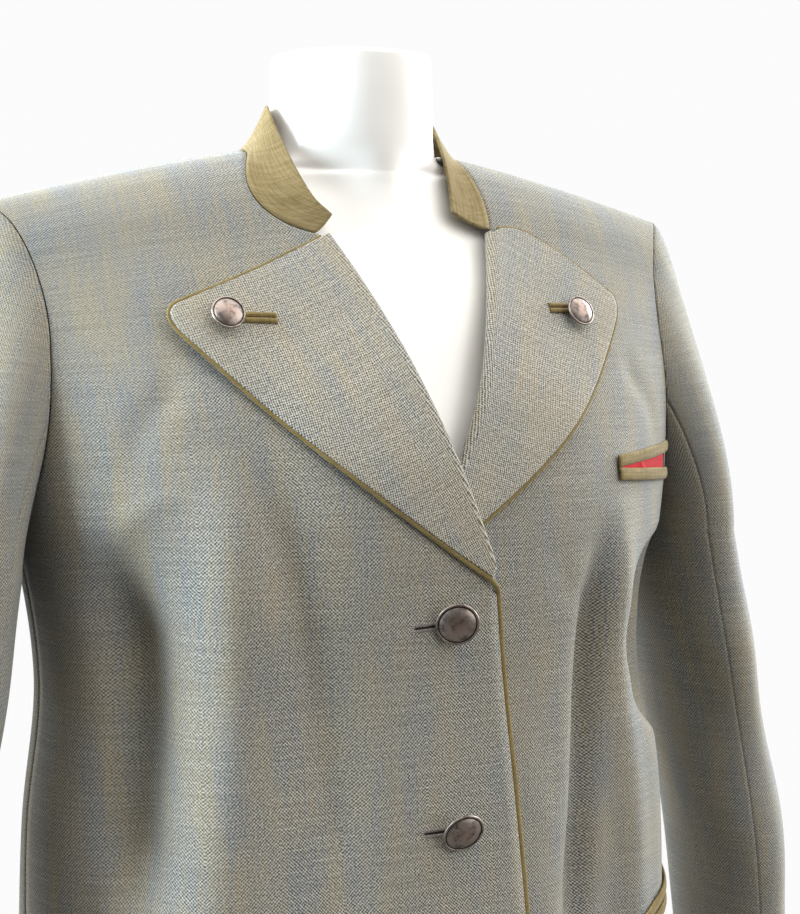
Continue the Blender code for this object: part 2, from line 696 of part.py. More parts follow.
def neck_seam(front_steps, back_steps):
    """Neck seam from the right front's collar end round the nape to the left one."""
    start = NECK_UP + 0.005

    def one_front(name):
        line = []
        for k in range(front_steps + 1):
            angle, run = front_inner_chart(name, start + (1.0 - start) * k / front_steps)
            line.append(front(name, np.array(angle), np.array(run)))
        return line

    def one_back(name):
        nape = [back_neck_chart(name, k / back_steps) for k in range(back_steps)]
        return [back(np.array(a * SIDES[name]), np.array(min(r, RUN_END - SEAM))) for a, r in nape]

    right = one_front("right") + one_back("right")[:0:-1]
    return np.array(right + one_back("left") + one_front("left")[::-1])


def collar_grid(rows, front_steps, back_steps):
    """Outside of the stand collar, from the neck seam up to its top edge."""
    foot = neck_seam(front_steps, back_steps)
    quarters = np.arange(1, front_steps + 1) / front_steps, np.arange(1, back_steps + 1) / back_steps
    station = np.concatenate(([0.0], quarters[0], 1.0 + quarters[1], 2.0 + quarters[1], 3.0 + quarters[0]))
    top = spline(COLLAR[:, 0], COLLAR[:, 1:], station) * np.array([1.0, -1.0, 1.0])
    inward = top[:, :2] - foot[:, :2]
    inward = inward / np.linalg.norm(inward, axis=1, keepdims=True)
    foot[:, :2] += inward * (COLLAR_SET[0] + COLLAR_SET[1] * np.minimum(station, 4.0 - station)[:, None] / 2)
    foot[:, 2] += COLLAR_UP
    grid = []
    for i in range(rows + 1):
        t = i / rows
        share = np.array([t**COLLAR_LEAN_POWER, t**COLLAR_LEAN_POWER, t])
        grid.append(foot + (top - foot) * share)
    return np.array(grid)


def armhole_loop(name):
    """Armhole points and their shares of a turn: shoulder, front, underarm, back, shoulder."""
    ups = [float(up) for up in PANEL_ROWS[::-1] if up > BREAK_UP - 0.001]
    line = [front(name, *[np.array(v) for v in outer_chart(up, 1)]) for up in ups]
    for up in reversed(ups[:-1]):
        angle, run = outer_chart(up, 2)
        line.append(back(np.array(angle * SIDES[name]), np.array(run)))
    line = np.array(line)
    length = np.concatenate(([0.0], np.cumsum(np.linalg.norm(np.diff(line, axis=0), axis=1))))
    half = length[len(ups) - 1]
    turn = np.where(length <= half, 0.5 * length / half,
                    0.5 + 0.5 * (length - half) / (length[-1] - half))
    return line, turn


def sleeve_grid(name, first, last, columns, cap_rows, arm_rows):
    """Outside of a sleeve piece between two shares of a turn, with a spare column at each side."""
    line, turns = armhole_loop(name)
    side = SIDES[name]
    grid = np.zeros((cap_rows + arm_rows + 1, columns + 3, 3))
    for j in range(-1, columns + 2):
        turn = first + (last - first) * j / columns
        start = np.array([np.interp(turn % 1.0, turns, line[:, k]) for k in range(3)])
        c, s = math.cos(2 * math.pi * turn), math.sin(2 * math.pi * turn)
        leave = np.array([side * (0.55 + 0.45 * c), -0.3 * s, -0.55 + 0.35 * c])
        leave = leave / np.linalg.norm(leave)
        start = start + leave * 0.5 + np.array([side * 0.5, 0.0, 0.0])
        out, forward, thick, deep = SLEEVE[0, 1:]
        end = np.array([side * (out + thick * c), -(forward + deep * s), SLEEVE[0, 0]])
        lead = start + leave * (11.0 + 3.0 * c)
        trail = end + np.array([0.0, 0.0, 54.0 + 46.0 * c])
        for i in range(cap_rows + 1):
            t = i / cap_rows
            grid[i, j + 1] = (start * (1 - t) ** 3 + lead * 3 * t * (1 - t) ** 2
                              + trail * 3 * t * t * (1 - t) + end * t**3)
        for i in range(1, arm_rows + 1):
            height = SLEEVE[0, 0] + (SLEEVE[-1, 0] - SLEEVE[0, 0]) * i / arm_rows
            ring = spline(SLEEVE[::-1, 0], SLEEVE[::-1, 1:], np.array(height))
            fade = float(ease(i / arm_rows, 0.0, 0.3))
            crease = fade * CREASE_RISE * math.sin(height / CREASE_LENGTH + 2.2 * s) * (0.6 + 0.4 * s)
            x = side * (ring[0] + (ring[2] + crease) * c)
            grid[cap_rows + i, j + 1] = (x, -(ring[1] + (ring[3] + crease) * s), height)
    return grid


def pocket_strip(row, part, steps):
    """Grid of one pocket strip, inner end to outer end by lower edge to upper edge."""
    name, inner, outer, inner_height, outer_height, upper, lower, gape = row
    grid = []
    for k in range(steps + 1):
        t = k / steps
        degrees = inner + (outer - inner) * t
        height = inner_height + (outer_height - inner_height) * t
        open_here = POCKET_SLIT + gape * t**GAPE_POWER
        spans = {
            "upper": (height + open_here / 2, height + open_here / 2 + upper),
            "lower": (height - open_here / 2 - lower, height - open_here / 2),
            "inset": (height - open_here / 2 + INSET_CLEAR, height + open_here / 2 - INSET_CLEAR),
        }
        low, high = spans[part]
        line = []
        for share in (0.0, 0.5, 1.0):
            puff = 0.0 if part == "inset" else LIP_PUFF * math.sin(math.pi * share)
            run = run_at(low + (high - low) * share)
            line.append(front(name, np.array(math.radians(degrees)), np.array(run), POCKET_LIFT + puff))
        grid.append(line)
    return np.array(grid)


def binding_grid(name, steps):
    """Two soft lips round a lapel buttonhole, from the button towards the fold."""
    grid = []
    for k in range(steps + 1):
        start, end = np.array(BINDING_FROM[name]), np.array(BINDING_TO[name])
        x, height = start + (end - start) * k / steps
        line = []
        for place, puff in BINDING_LIPS:
            line.append(on_lapel(name, x, height + place, CLOTH / 2 + 0.35 + puff))
        grid.append(line)
    return np.array(grid)


def button(name, centre, normal, radius, stand, made):
    """Domed button on a shank, turned round its axis; a longer shank stands it off the cloth."""
    profile = SHANK + tuple((share * radius, high + stand) for share, high in BUTTON_DOME)
    segments = 18
    normal = normal / np.linalg.norm(normal)
    aside = np.cross(normal, np.array([0.0, 0.0, 1.0]))
    aside = aside / np.linalg.norm(aside)
    above = np.cross(aside, normal)
    points = []
    rings = []
    for wide, high in profile:
        if wide == 0.0:
            rings.append([len(points)])
            points.append(centre + normal * high)
            continue
        rings.append(list(range(len(points), len(points) + segments)))
        for k in range(segments):
            turn = 2 * math.pi * k / segments
            points.append(centre + normal * high
                          + (aside * math.cos(turn) + above * math.sin(turn)) * wide)
    faces = []
    for low, high in zip(rings, rings[1:]):
        for k in range(segments):
            a, b = k, (k + 1) % segments
            if len(low) == 1:
                faces.append((low[0], high[b], high[a]))
            elif len(high) == 1:
                faces.append((low[a], low[b], high[0]))
            else:
                faces.append((low[a], low[b], high[b], high[a]))
    return add_mesh(name, points, faces, made)


def front_button(name, height, turn, tilt, made):
    """Button on the overlap at the centre, its face turned to the right and dropped by degrees."""
    angle, run = front_chart(0.0, height)
    place = front("right", np.array(angle), np.array(run))
    aside, drop = math.radians(turn), math.radians(tilt)
    normal = np.array([-math.sin(aside) * math.cos(drop), -math.cos(aside) * math.cos(drop), -math.sin(drop)])
    return button(name, place + normal * BUTTON_LEAN, normal, FRONT_BUTTON, BUTTON_STAND, made)


def lapel_button(side, made):
    """Button sewn on a lapel near its tip, square to the lapel's face."""
    x, height = LAPEL_BUTTON_AT[side]
    place = on_lapel(side, x, height, CLOTH / 2)
    across = on_lapel(side, x + 4.0, height) - on_lapel(side, x - 4.0, height)
    along = on_lapel(side, x, height + 4.0) - on_lapel(side, x, height - 4.0)
    normal = np.cross(across, along) * SIDES[side]
    return button("button_lapel_" + side, place, normal, LAPEL_BUTTON, 0.0, made)


for old in list(bpy.data.objects):
    bpy.data.objects.remove(old)

TWILL = material("twill", (146, 142, 132), 0.85)
KHAKI = material("khaki", (174, 158, 122), 0.85)
OLIVE = material("olive", (150, 130, 76), 0.8)
RED = material("red", (214, 62, 64), 0.8)
METAL = material("metal", (152, 133, 124), 0.4, 1.0)
WHITE = material("white", (243, 242, 240), 0.3)

dress_form(WHITE)
cloth_wall("back", back_grid(12), 0.0, -CLOTH, TWILL, square=SHOULDER_SEAM)
for side in SIDES:
    cloth_wall("front_" + side, front_grid(side, 12), 0.0, -CLOTH, TWILL, square=SHOULDER_SEAM)
    cloth_wall("lapel_" + side, lapel_grid(side, 5, 7), CLOTH / 2, -CLOTH / 2, TWILL)
    cloth_wall("lapel_piping_" + side, lapel_piping_grid(side, 7), PIPE_THICK / 2, -PIPE_THICK / 2, OLIVE)
    sleeve_axis = (SIDES[side] * SLEEVE_AXIS, 0.0)
    top = sleeve_grid(side, -SLEEVE_SEAM + SLEEVE_TRIM, SLEEVE_SEAM - SLEEVE_TRIM, 14, 7, 9)
    cloth_wall("sleeve_top_" + side, top, 0.0, -CLOTH, TWILL, sleeve_axis, 1, ARMHOLE_SEAM)
    under = sleeve_grid(side, SLEEVE_SEAM + SLEEVE_TRIM, 1.0 - SLEEVE_SEAM - SLEEVE_TRIM, 8, 7, 9)
    cloth_wall("sleeve_under_" + side, under, 0.0, -CLOTH, TWILL, sleeve_axis, 1, ARMHOLE_SEAM)
    cloth_wall("hip_welt_upper_" + side, pocket_strip(HIP_POCKETS[side], "upper", 8), LIP_THICK, 0.0, OLIVE)
    cloth_wall("hip_welt_lower_" + side, pocket_strip(HIP_POCKETS[side], "lower", 8), LIP_THICK, 0.0, OLIVE)
    cloth_wall("lapel_binding_" + side, binding_grid(side, 6), BINDING_THICK, 0.0, OLIVE)
    lapel_button(side, METAL)
cloth_wall("front_piping", front_piping_grid("right", 16), PIPE_THICK / 2, -PIPE_THICK / 2, OLIVE)
cloth_wall("collar", collar_grid(4, 5, 7), 0.0, -COLLAR_THICK, KHAKI)
cloth_wall("breast_welt_upper", pocket_strip(BREAST_POCKET, "upper", 8), LIP_THICK, 0.0, OLIVE)
cloth_wall("breast_welt_lower", pocket_strip(BREAST_POCKET, "lower", 8), LIP_THICK, 0.0, OLIVE)
cloth_wall("breast_inset", pocket_strip(BREAST_POCKET, "inset", 8), INSET_THICK, 0.0, RED)
for place, row in enumerate(zip(BUTTON_HEIGHTS, BUTTON_TURN, BUTTON_TILT)):
    front_button("button_front_" + ("top", "middle", "low")[place], *row, METAL)
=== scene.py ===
"""Looks of an alpine jacket worn by a dress form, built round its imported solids.

The wearer faces -Y, the wearer's left is +X and +Z is up. Tables are in millimetres, meshes in metres.
"""

import math

import bmesh
import bpy
import numpy as np
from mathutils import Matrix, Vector


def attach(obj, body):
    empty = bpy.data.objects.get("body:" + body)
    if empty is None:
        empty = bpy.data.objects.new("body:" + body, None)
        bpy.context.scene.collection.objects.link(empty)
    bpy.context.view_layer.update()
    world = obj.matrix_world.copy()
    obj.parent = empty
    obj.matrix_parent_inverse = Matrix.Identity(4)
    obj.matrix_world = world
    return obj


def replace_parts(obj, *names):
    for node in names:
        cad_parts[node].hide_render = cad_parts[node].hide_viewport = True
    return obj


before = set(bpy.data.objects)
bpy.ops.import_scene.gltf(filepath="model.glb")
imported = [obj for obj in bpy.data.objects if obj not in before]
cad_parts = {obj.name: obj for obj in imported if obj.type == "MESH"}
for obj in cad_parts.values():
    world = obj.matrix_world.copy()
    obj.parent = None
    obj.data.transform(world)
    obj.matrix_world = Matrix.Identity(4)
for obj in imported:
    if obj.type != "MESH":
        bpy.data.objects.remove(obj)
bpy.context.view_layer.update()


# Dress form
# A limbless torso, moulded as one white shell with a half-gloss skin, cut flat at the neck and at the bottom.
# It stands by itself and carries the jacket, so its shoulders follow the slope of the jacket's own.
MM = 0.001
CLOTH = 2.0
SHOULDER_HALF = 235.0
SLOPE_POWER = 1.4
FORM_CLEAR = 1.1
FORM_POWER = 2.15
THROAT_HALF = 30.0
FORM_RINGS = 170
FORM_SEGMENTS = 112
FORM_WHITE = (238, 235, 229)
FORM_PALE = (243, 240, 235)

# Part of the form whose top follows the jacket's shoulder slope: heights, and from how far out
FORM_SLOPE = (690.0, 750.0)
FORM_SLOPE_FROM = 62.0

# Rings of the form: height, half width, depth to the front and to the back, fullness of the throat
FORM = np.array([
    (0.0, 176.0, 106.0, 98.0, 0.0),
    (8.0, 181.0, 110.0, 102.0, 0.0),
    (120.0, 184.0, 113.0, 106.0, 0.0),
    (230.0, 174.0, 108.0, 95.0, 0.0),
    (345.0, 150.0, 98.0, 76.0, 0.0),
    (440.0, 158.0, 105.0, 82.0, 0.0),
    (520.0, 176.0, 110.0, 94.0, 0.0),
    (570.0, 182.0, 103.0, 98.0, 0.0),
    (620.0, 184.0, 87.0, 96.0, 0.0),
    (665.0, 182.0, 70.0, 86.0, 1.0),
    (697.0, 177.0, 52.0, 70.0, 4.5),
    (716.0, 168.0, 41.0, 56.0, 9.5),
    (727.0, 150.0, 34.0, 46.0, 14.5),
    (737.0, 118.0, 30.0, 40.0, 17.5),
    (744.0, 72.0, 30.0, 40.0, 17.5),
    (751.0, 56.5, 37.0, 43.0, 11.0),
    (760.0, 52.5, 45.0, 47.5, 3.5),
    (775.0, 51.0, 49.0, 49.5, 0.0),
    (795.0, 49.5, 49.5, 49.5, 0.0),
    (810.0, 49.2, 49.2, 49.2, 0.0),
])
NECK_RIM = 3.0

# Rings of the jacket's outside: height, half width, depth to the front and back, power of each curve, drop
TORSO = np.array([
    (55.0, 218.0, 140.0, 122.0, 2.4, 2.3, 0.0),
    (150.0, 220.0, 137.0, 120.0, 2.4, 2.3, 0.0),
    (280.0, 219.0, 131.0, 102.0, 2.5, 2.3, 0.0),
    (355.0, 217.0, 128.0, 90.0, 2.5, 2.2, 0.0),
    (440.0, 208.0, 124.0, 94.0, 2.5, 2.2, 0.0),
    (500.0, 215.0, 124.0, 102.0, 2.4, 2.2, 0.0),
    (550.0, 227.0, 121.0, 107.0, 2.2, 2.2, 2.0),
    (605.0, 236.0, 107.0, 109.0, 2.1, 2.2, 8.0),
    (660.0, 248.0, 81.0, 102.0, 2.0, 2.2, 19.0),
    (703.0, 256.0, 58.0, 85.0, 2.0, 2.1, 30.0),
    (739.0, 258.0, 39.0, 58.0, 2.0, 2.0, 39.0),
    (751.0, 258.0, 28.5, 38.0, 2.0, 2.0, 42.5),
    (759.0, 258.0, 15.5, 19.0, 2.0, 2.0, 44.3),
    (762.0, 258.0, 0.0, 0.0, 2.0, 2.0, 45.0),
])


def spline(knots, values, at):
    """Smooth curve through a table's columns: cubic pieces with weighted slopes at the rows."""
    knots = np.asarray(knots, float)
    values = np.asarray(values, float)
    step = np.diff(knots)
    rate = np.diff(values, axis=0) / step.reshape((-1,) + (1,) * (values.ndim - 1))
    slope = np.empty_like(values)
    slope[0] = rate[0]
    slope[-1] = rate[-1]
    for k in range(1, len(knots) - 1):
        share = step[k - 1] / (step[k - 1] + step[k])
        slope[k] = rate[k - 1] * (1.0 - share) + rate[k] * share
    at = np.clip(np.asarray(at, float), knots[0], knots[-1])
    k = np.clip(np.searchsorted(knots, at, side="right") - 1, 0, len(knots) - 2)
    wide = step[k]
    t = (at - knots[k]) / wide
    if values.ndim > 1:
        t = t[..., None]
        wide = wide[..., None]
    return ((2 * t**3 - 3 * t**2 + 1) * values[k] + (t**3 - 2 * t**2 + t) * wide * slope[k]
            + (3 * t**2 - 2 * t**3) * values[k + 1] + (t**3 - t**2) * wide * slope[k + 1])


def lengths(points):
    """Distances along a line of points, from its first one."""
    return np.concatenate(([0.0], np.cumsum(np.linalg.norm(np.diff(points, axis=0), axis=1))))


TORSO_RUN = lengths(TORSO[:, (0, 2)])
RUN_END = TORSO_RUN[-1]
RUN_SAMPLES = np.linspace(0.0, RUN_END, 900)
TORSO_SAMPLES = spline(TORSO_RUN, TORSO, RUN_SAMPLES)


def slope_share(x):
    """Share of the shoulder's drop at a distance out from the centre."""
    return (np.abs(x) / SHOULDER_HALF) ** SLOPE_POWER


def shoulder_height(x, forward):
    """Height of the jacket's plain outside over a place in plan, above the chest and blades."""
    top = TORSO_SAMPLES[len(RUN_SAMPLES) * 2 // 3:]
    deep = top[:, 2] if forward >= 0.0 else top[:, 3]
    reach = deep * np.sqrt(np.clip(1.0 - (abs(x) / top[:, 1]) ** 2, 0.0, 1.0))
    level = top[:, 0] - top[:, 6] * slope_share(x)
    return float(np.interp(-abs(forward), -reach, level))


def rounded(turn, half_width, deep, power):
    """Point of a rounded ring in plan: x, and y with the front at a turn of zero."""
    x = half_width * math.copysign(abs(math.sin(turn)) ** (2 / power), math.sin(turn))
    y = -deep * math.copysign(abs(math.cos(turn)) ** (2 / power), math.cos(turn))
    return x, y


def make_piece(name, points, faces, finish, uv=None):
    """Mesh object at the origin from points in millimetres, facing out and shaded smooth."""
    mesh = bpy.data.meshes.new(name)
    mesh.from_pydata((np.asarray(points, float) * MM).tolist(), [], faces)
    body = bmesh.new()
    body.from_mesh(mesh)
    bmesh.ops.recalc_face_normals(body, faces=body.faces)
    body.to_mesh(mesh)
    body.free()
    if uv is not None:
        corner = np.zeros(len(mesh.loops), np.int32)
        mesh.loops.foreach_get("vertex_index", corner)
        mesh.uv_layers.new(name="cloth").data.foreach_set("uv", (np.asarray(uv)[corner] * MM).ravel())
    mesh.polygons.foreach_set("use_smooth", np.ones(len(mesh.polygons), bool))
    mesh.materials.append(finish)
    piece = bpy.data.objects.new(name, mesh)
    bpy.context.scene.collection.objects.link(piece)
    return piece


def linear(colour):
    """Scene colour from sRGB parts of 255."""
    parts = [c / 255.0 for c in colour]
    return (*[p / 12.92 if p <= 0.04045 else ((p + 0.055) / 1.055) ** 2.4 for p in parts], 1.0)


def put(tree, kind, inputs=None, **fields):
    """New node with its fields set; each input is a value or another node's output."""
    made = tree.nodes.new(kind)
    for field, value in fields.items():
        setattr(made, field, value)
    for key, value in (inputs or {}).items():
        if isinstance(value, bpy.types.NodeSocket):
            tree.links.new(value, made.inputs[key])
        else:
            made.inputs[key].default_value = value
    return made


def finish_named(name, **values):
    """Material with its Principled shader's own sockets set; returns it, its tree and the shader."""
    made = bpy.data.materials.new(name)
    made.use_nodes = True
    shader = made.node_tree.nodes["Principled BSDF"]
    for socket, value in values.items():
        shader.inputs[socket.replace("_", " ").title()].default_value = value
    return made, made.node_tree, shader


def mixed(tree, share, first, second):
    """Colour output of a mix of two colours."""
    return put(tree, "ShaderNodeMix", {0: share, 6: first, 7: second}, data_type="RGBA").outputs[2]


def noise(tree, place, scale, detail, roughness=0.5, **fields):
    """Output of a noise texture."""
    inputs = {"Vector": place, "Scale": scale, "Detail": detail, "Roughness": roughness}
    return put(tree, "ShaderNodeTexNoise", inputs, **fields).outputs["Fac"]


def bumped(tree, height, distance, strength, **more):
    """Normal output of a bump."""
    inputs = {"Height": height, "Distance": distance, "Strength": strength, **more}
    return put(tree, "ShaderNodeBump", inputs).outputs["Normal"]


def object_place(tree):
    """Output of the place on the object."""
    return put(tree, "ShaderNodeTexCoord").outputs["Object"]


def dress(tree, shader, colour, normal):
    """Link a shader's colour and normal."""
    tree.links.new(colour, shader.inputs["Base Color"])
    tree.links.new(normal, shader.inputs["Normal"])


form_skin, tree, shader = finish_named("moulded white skin", roughness=0.34, coat_weight=0.25,
                                       coat_roughness=0.2)
place = object_place(tree)
tint = mixed(tree, noise(tree, place, 14.0, 3.0), linear(FORM_WHITE), linear(FORM_PALE))
dress(tree, shader, tint, bumped(tree, noise(tree, place, 260.0, 1.0), 0.0004, 0.05))

ring_run = lengths(FORM[:, :2])
rings = spline(ring_run, FORM, np.linspace(0.0, ring_run[-1], FORM_RINGS))
turn = np.linspace(0.0, math.pi / 2, 8)[1:, None]
closing = np.cos(turn) - 1.0
rim = rings[-1] + NECK_RIM * np.concatenate((np.sin(turn), closing, closing, closing, 0.0 * turn), axis=1)
caps = (1.0, 0.96, 0.96, 0.96, 1.0)
rings = np.concatenate((rings[:1] * caps, rings, rim, rim[-1:] * caps))
points = []
for height, half_width, deep_front, deep_back, throat in rings:
    for k in range(FORM_SEGMENTS):
        turn = 2 * math.pi * k / FORM_SEGMENTS
        x, y = rounded(turn, half_width, deep_front if math.cos(turn) >= 0 else deep_back, FORM_POWER)
        if math.cos(turn) > 0.0:
            y -= throat * math.exp(-((x / THROAT_HALF) ** 2))
        level = height
        if FORM_SLOPE[0] < height < FORM_SLOPE[1] and abs(x) > FORM_SLOPE_FROM:
            level = min(height, shoulder_height(x, -y) - CLOTH - FORM_CLEAR)
        points.append((x, y, level))
faces = []
for i in range(len(rings) - 1):
    for k in range(FORM_SEGMENTS):
        a, b = i * FORM_SEGMENTS + k, i * FORM_SEGMENTS + (k + 1) % FORM_SEGMENTS
        faces.append((a, b, b + FORM_SEGMENTS, a + FORM_SEGMENTS))
faces.append(tuple(range(FORM_SEGMENTS - 1, -1, -1)))
faces.append(tuple(range(len(points) - FORM_SEGMENTS, len(points))))
form_piece = make_piece("form", points, faces, form_skin)
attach(form_piece, "root")
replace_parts(form_piece, "dress_form")


# Back
# One panel of herringbone twill, cut with the warp upright, from the hem to the neck seam and the shoulder
# seams. The yarns are uneven in thickness and shade, so the cloth shows slubs and streaks along the warp.
SEAM = 0.3
WALL = 1.8
HEM = 55.0
UNDERARM = 530.0
NECK_HALF = {"right": 76.0, "left": 66.5}
NAPE_POWER = 1.5
NAPE_DEPTH = 63.0
SIDES = {"right": -1.0, "left": 1.0}
BACK_NECK_SHARE = 1.0 / 3.0
HALF_SEAM = SEAM / 2 / 110.0
BREAK_UP = 0.5
NECK_UP = 0.86
PANEL_ROWS = np.concatenate((
    np.linspace(0.0, BREAK_UP, 90),
    np.linspace(BREAK_UP, NECK_UP, 54)[1:],
    np.linspace(NECK_UP, 1.0, 30)[1:],
))
BACK_COLUMNS = 56
SHOULDER_SEAM = (-1, 1, 1.5)
RIM_BULGE = 0.28

RIGHT_SIDE = {"blue": (91, 98, 105), "beige": (124, 114, 90), "light": (190, 186, 174), "gap": (38, 37, 35)}
RIB_PITCH = 1.42
CROSS_PITCH = 1.5
HERRINGBONE = 45.0

# Where the weave's contrast fades, over the height and out from the centre in metres, and what is left of it
SMOOTH_SHOULDER = (0.6, 0.72)
SMOOTH_SIDE = (0.1, 0.17)
SMOOTH_LEFT = 0.5

# Armhole: ring height, and the angles from the centre front and the centre back
ARMHOLE = np.array([
    (530.0, 90.0, 90.0),
    (546.0, 80.0, 78.0),
    (566.0, 72.0, 70.0),
    (606.0, 65.0, 62.0),
    (660.0, 59.0, 56.0),
    (703.0, 57.5, 56.0),
    (739.0, 60.5, 60.5),
    (762.0, 65.63, 65.63),
])

# Folds of each panel: top height, angle there, low height, angle there, half angle, rise, share of the way
# down to the full rise, share of the rise left at the low end
FOLDS = {
    "right": (
        (545.0, 50.0, 40.0, 48.0, 9.0, 7.0, 0.45, 0.4),
        (520.0, 35.0, 40.0, 31.0, 9.0, -4.5, 0.45, 0.4),
        (540.0, 68.0, 60.0, 67.0, 9.0, -6.0, 0.45, 0.4),
        (480.0, 28.0, 300.0, 12.0, 6.0, -2.5, 0.45, 0.4),
        (545.0, 56.0, 300.0, 53.0, 8.8, -35.0, 0.34, 0.35),
        (590.0, 33.5, 240.0, 36.0, 6.5, 8.0, 0.25, 0.4),
        (610.0, 29.5, 320.0, 11.0, 4.5, -6.5, 0.3, 0.4),
    ),
    "left": (
        (530.0, 51.0, 40.0, 49.0, 9.0, 6.5, 0.45, 0.4),
        (525.0, 35.0, 120.0, 24.0, 8.0, -6.5, 0.45, 0.4),
        (540.0, 69.0, 60.0, 68.0, 9.0, -6.0, 0.45, 0.4),
        (455.0, 14.0, 280.0, 17.0, 5.0, -1.5, 0.45, 0.4),
        (518.0, 60.0, 380.0, 58.0, 11.0, -36.0, 0.42, 0.15),
        (535.0, 29.5, 250.0, 19.5, 3.4, -17.0, 0.3, 0.7),
        (560.0, 35.0, 250.0, 37.0, 5.0, 6.0, 0.25, 0.6),
    ),
    "back": (
        (560.0, 22.0, 40.0, 27.0, 10.0, -4.0, 0.45, 0.4),
        (470.0, 47.0, 40.0, 49.0, 10.0, 5.0, 0.45, 0.4),
        (600.0, -20.0, 40.0, -25.0, 10.0, -4.5, 0.45, 0.4),
        (480.0, -46.0, 40.0, -48.0, 10.0, 5.0, 0.45, 0.4),
    ),
}

# Soft creases of each panel, on its flat: from (across, height), to (across, height), half width, rise
# Each bows aside by a share of its length
CREASE_BOW = 0.12
CREASES = {
    "right": (
        (190.0, 560.0, 150.0, 620.0, 9.0, -1.6),
        (205.0, 520.0, 150.0, 560.0, 8.0, 1.3),
        (62.0, 455.0, 96.0, 330.0, 9.0, -1.2),
        (30.0, 462.0, 75.0, 430.0, 6.0, 0.8),
        (34.0, 350.0, 90.0, 318.0, 7.0, -0.9),
        (120.0, 420.0, 142.0, 250.0, 10.0, 1.1),
        (160.0, 640.0, 168.0, 600.0, 8.0, -1.2),
        (95.0, 250.0, 105.0, 110.0, 12.0, -1.6),
    ),
    "left": (
        (196.0, 566.0, 160.0, 630.0, 9.0, -1.4),
        (206.0, 505.0, 150.0, 470.0, 9.0, -1.7),
        (70.0, 520.0, 118.0, 470.0, 9.0, -1.2),
        (40.0, 430.0, 84.0, 330.0, 8.0, 1.0),
        (128.0, 430.0, 120.0, 300.0, 9.0, 1.3),
        (170.0, 645.0, 178.0, 600.0, 8.0, -1.0),
        (135.0, 448.0, 225.0, 458.0, 17.0, -8.0),
        (90.0, 240.0, 96.0, 100.0, 12.0, -1.4),
    ),
    "back": (
        (-150.0, 610.0, -70.0, 650.0, 12.0, -1.5),
        (145.0, 600.0, 60.0, 655.0, 12.0, -1.8),
        (-120.0, 450.0, -40.0, 425.0, 10.0, 1.6),
        (30.0, 440.0, 125.0, 462.0, 10.0, 1.4),
        (-35.0, 400.0, -60.0, 220.0, 12.0, -1.7),
        (50.0, 380.0, 84.0, 160.0, 12.0, 1.6),
        (-60.0, 715.0, 55.0, 708.0, 9.0, -1.3),
    ),
}


def ease(value, start, end):
    """Smooth step from 0 at start to 1 at end."""
    t = np.clip((np.asarray(value, float) - start) / (end - start), 0.0, 1.0)
    return t * t * (3.0 - 2.0 * t)


def run_at(height):
    """Run along the torso's length for a ring's height at the centre."""
    return np.interp(height, TORSO_SAMPLES[:, 0], RUN_SAMPLES)


def torso(angle, run):
    """Point of the jacket's plain outside: angle from the centre front, run from the hem up."""
    angle, run = np.broadcast_arrays(np.asarray(angle, float), np.asarray(run, float))
    ring = spline(TORSO_RUN, TORSO, run)
    forward = np.cos(angle) >= 0.0
    depth = np.where(forward, ring[..., 2], ring[..., 3])
    power = 2.0 / np.where(forward, ring[..., 4], ring[..., 5])
    x = ring[..., 1] * np.sign(np.sin(angle)) * np.abs(np.sin(angle)) ** power
    y = -depth * np.sign(np.cos(angle)) * np.abs(np.cos(angle)) ** power
    z = ring[..., 0] - ring[..., 6] * slope_share(x)
    return np.stack([x, y, z], axis=-1)


def unit(vectors):
    """Vectors brought to a length of one."""
    return vectors / np.maximum(np.linalg.norm(vectors, axis=-1, keepdims=True), 1e-9)


def torso_normal(angle, run):
    """Outward direction of the plain outside."""
    across = torso(angle + 0.004, run) - torso(angle - 0.004, run)
    along = torso(angle, np.minimum(run + 0.5, RUN_END)) - torso(angle, np.maximum(run - 1.0, 0.0))
    return unit(np.cross(across, along))


ARC_ROWS = 159
ARC_COLUMNS = 240
ARC_RUNS = np.linspace(0.0, RUN_END, ARC_ROWS + 1)
ARC_ANGLES = np.linspace(0.0, math.pi, ARC_COLUMNS + 1)
ARC_STEPS = np.linalg.norm(np.diff(torso(ARC_ANGLES[None, :], ARC_RUNS[:, None]), axis=1), axis=-1)
ARCS = np.concatenate((np.zeros((ARC_ROWS + 1, 1)), np.cumsum(ARC_STEPS, axis=1)), axis=1)


def arc_across(angle, run):
    """Distance round the torso from the centre front, measured on the cloth."""
    row = np.clip(np.asarray(run) / RUN_END * ARC_ROWS, 0.0, ARC_ROWS - 0.001)
    column = np.clip(np.abs(angle) / math.pi * ARC_COLUMNS, 0.0, ARC_COLUMNS - 0.001)
    i, j = row.astype(int), column.astype(int)
    s, t = row - i, column - j
    arc = ((ARCS[i, j] * (1 - t) + ARCS[i, j + 1] * t) * (1 - s)
           + (ARCS[i + 1, j] * (1 - t) + ARCS[i + 1, j + 1] * t) * s)
    return arc * np.sign(angle)


def fold_rise(name, degrees, height):
    """How far the folds of a panel stand out or in at an angle and a ring height."""
    rise = np.zeros(np.broadcast(degrees, height).shape)
    for top, top_angle, low, low_angle, half_angle, amount, full, rest in FOLDS[name]:
        share = np.clip((top - height) / (top - low), 0.0, 1.0)
        middle = top_angle + (low_angle - top_angle) * share
        fade = ease(share, 0.0, full) * (1.0 - (1.0 - rest) * ease(share, 0.75, 1.0))
        rise = rise + amount * fade * np.exp(-((degrees - middle) / half_angle) ** 2)
    return rise


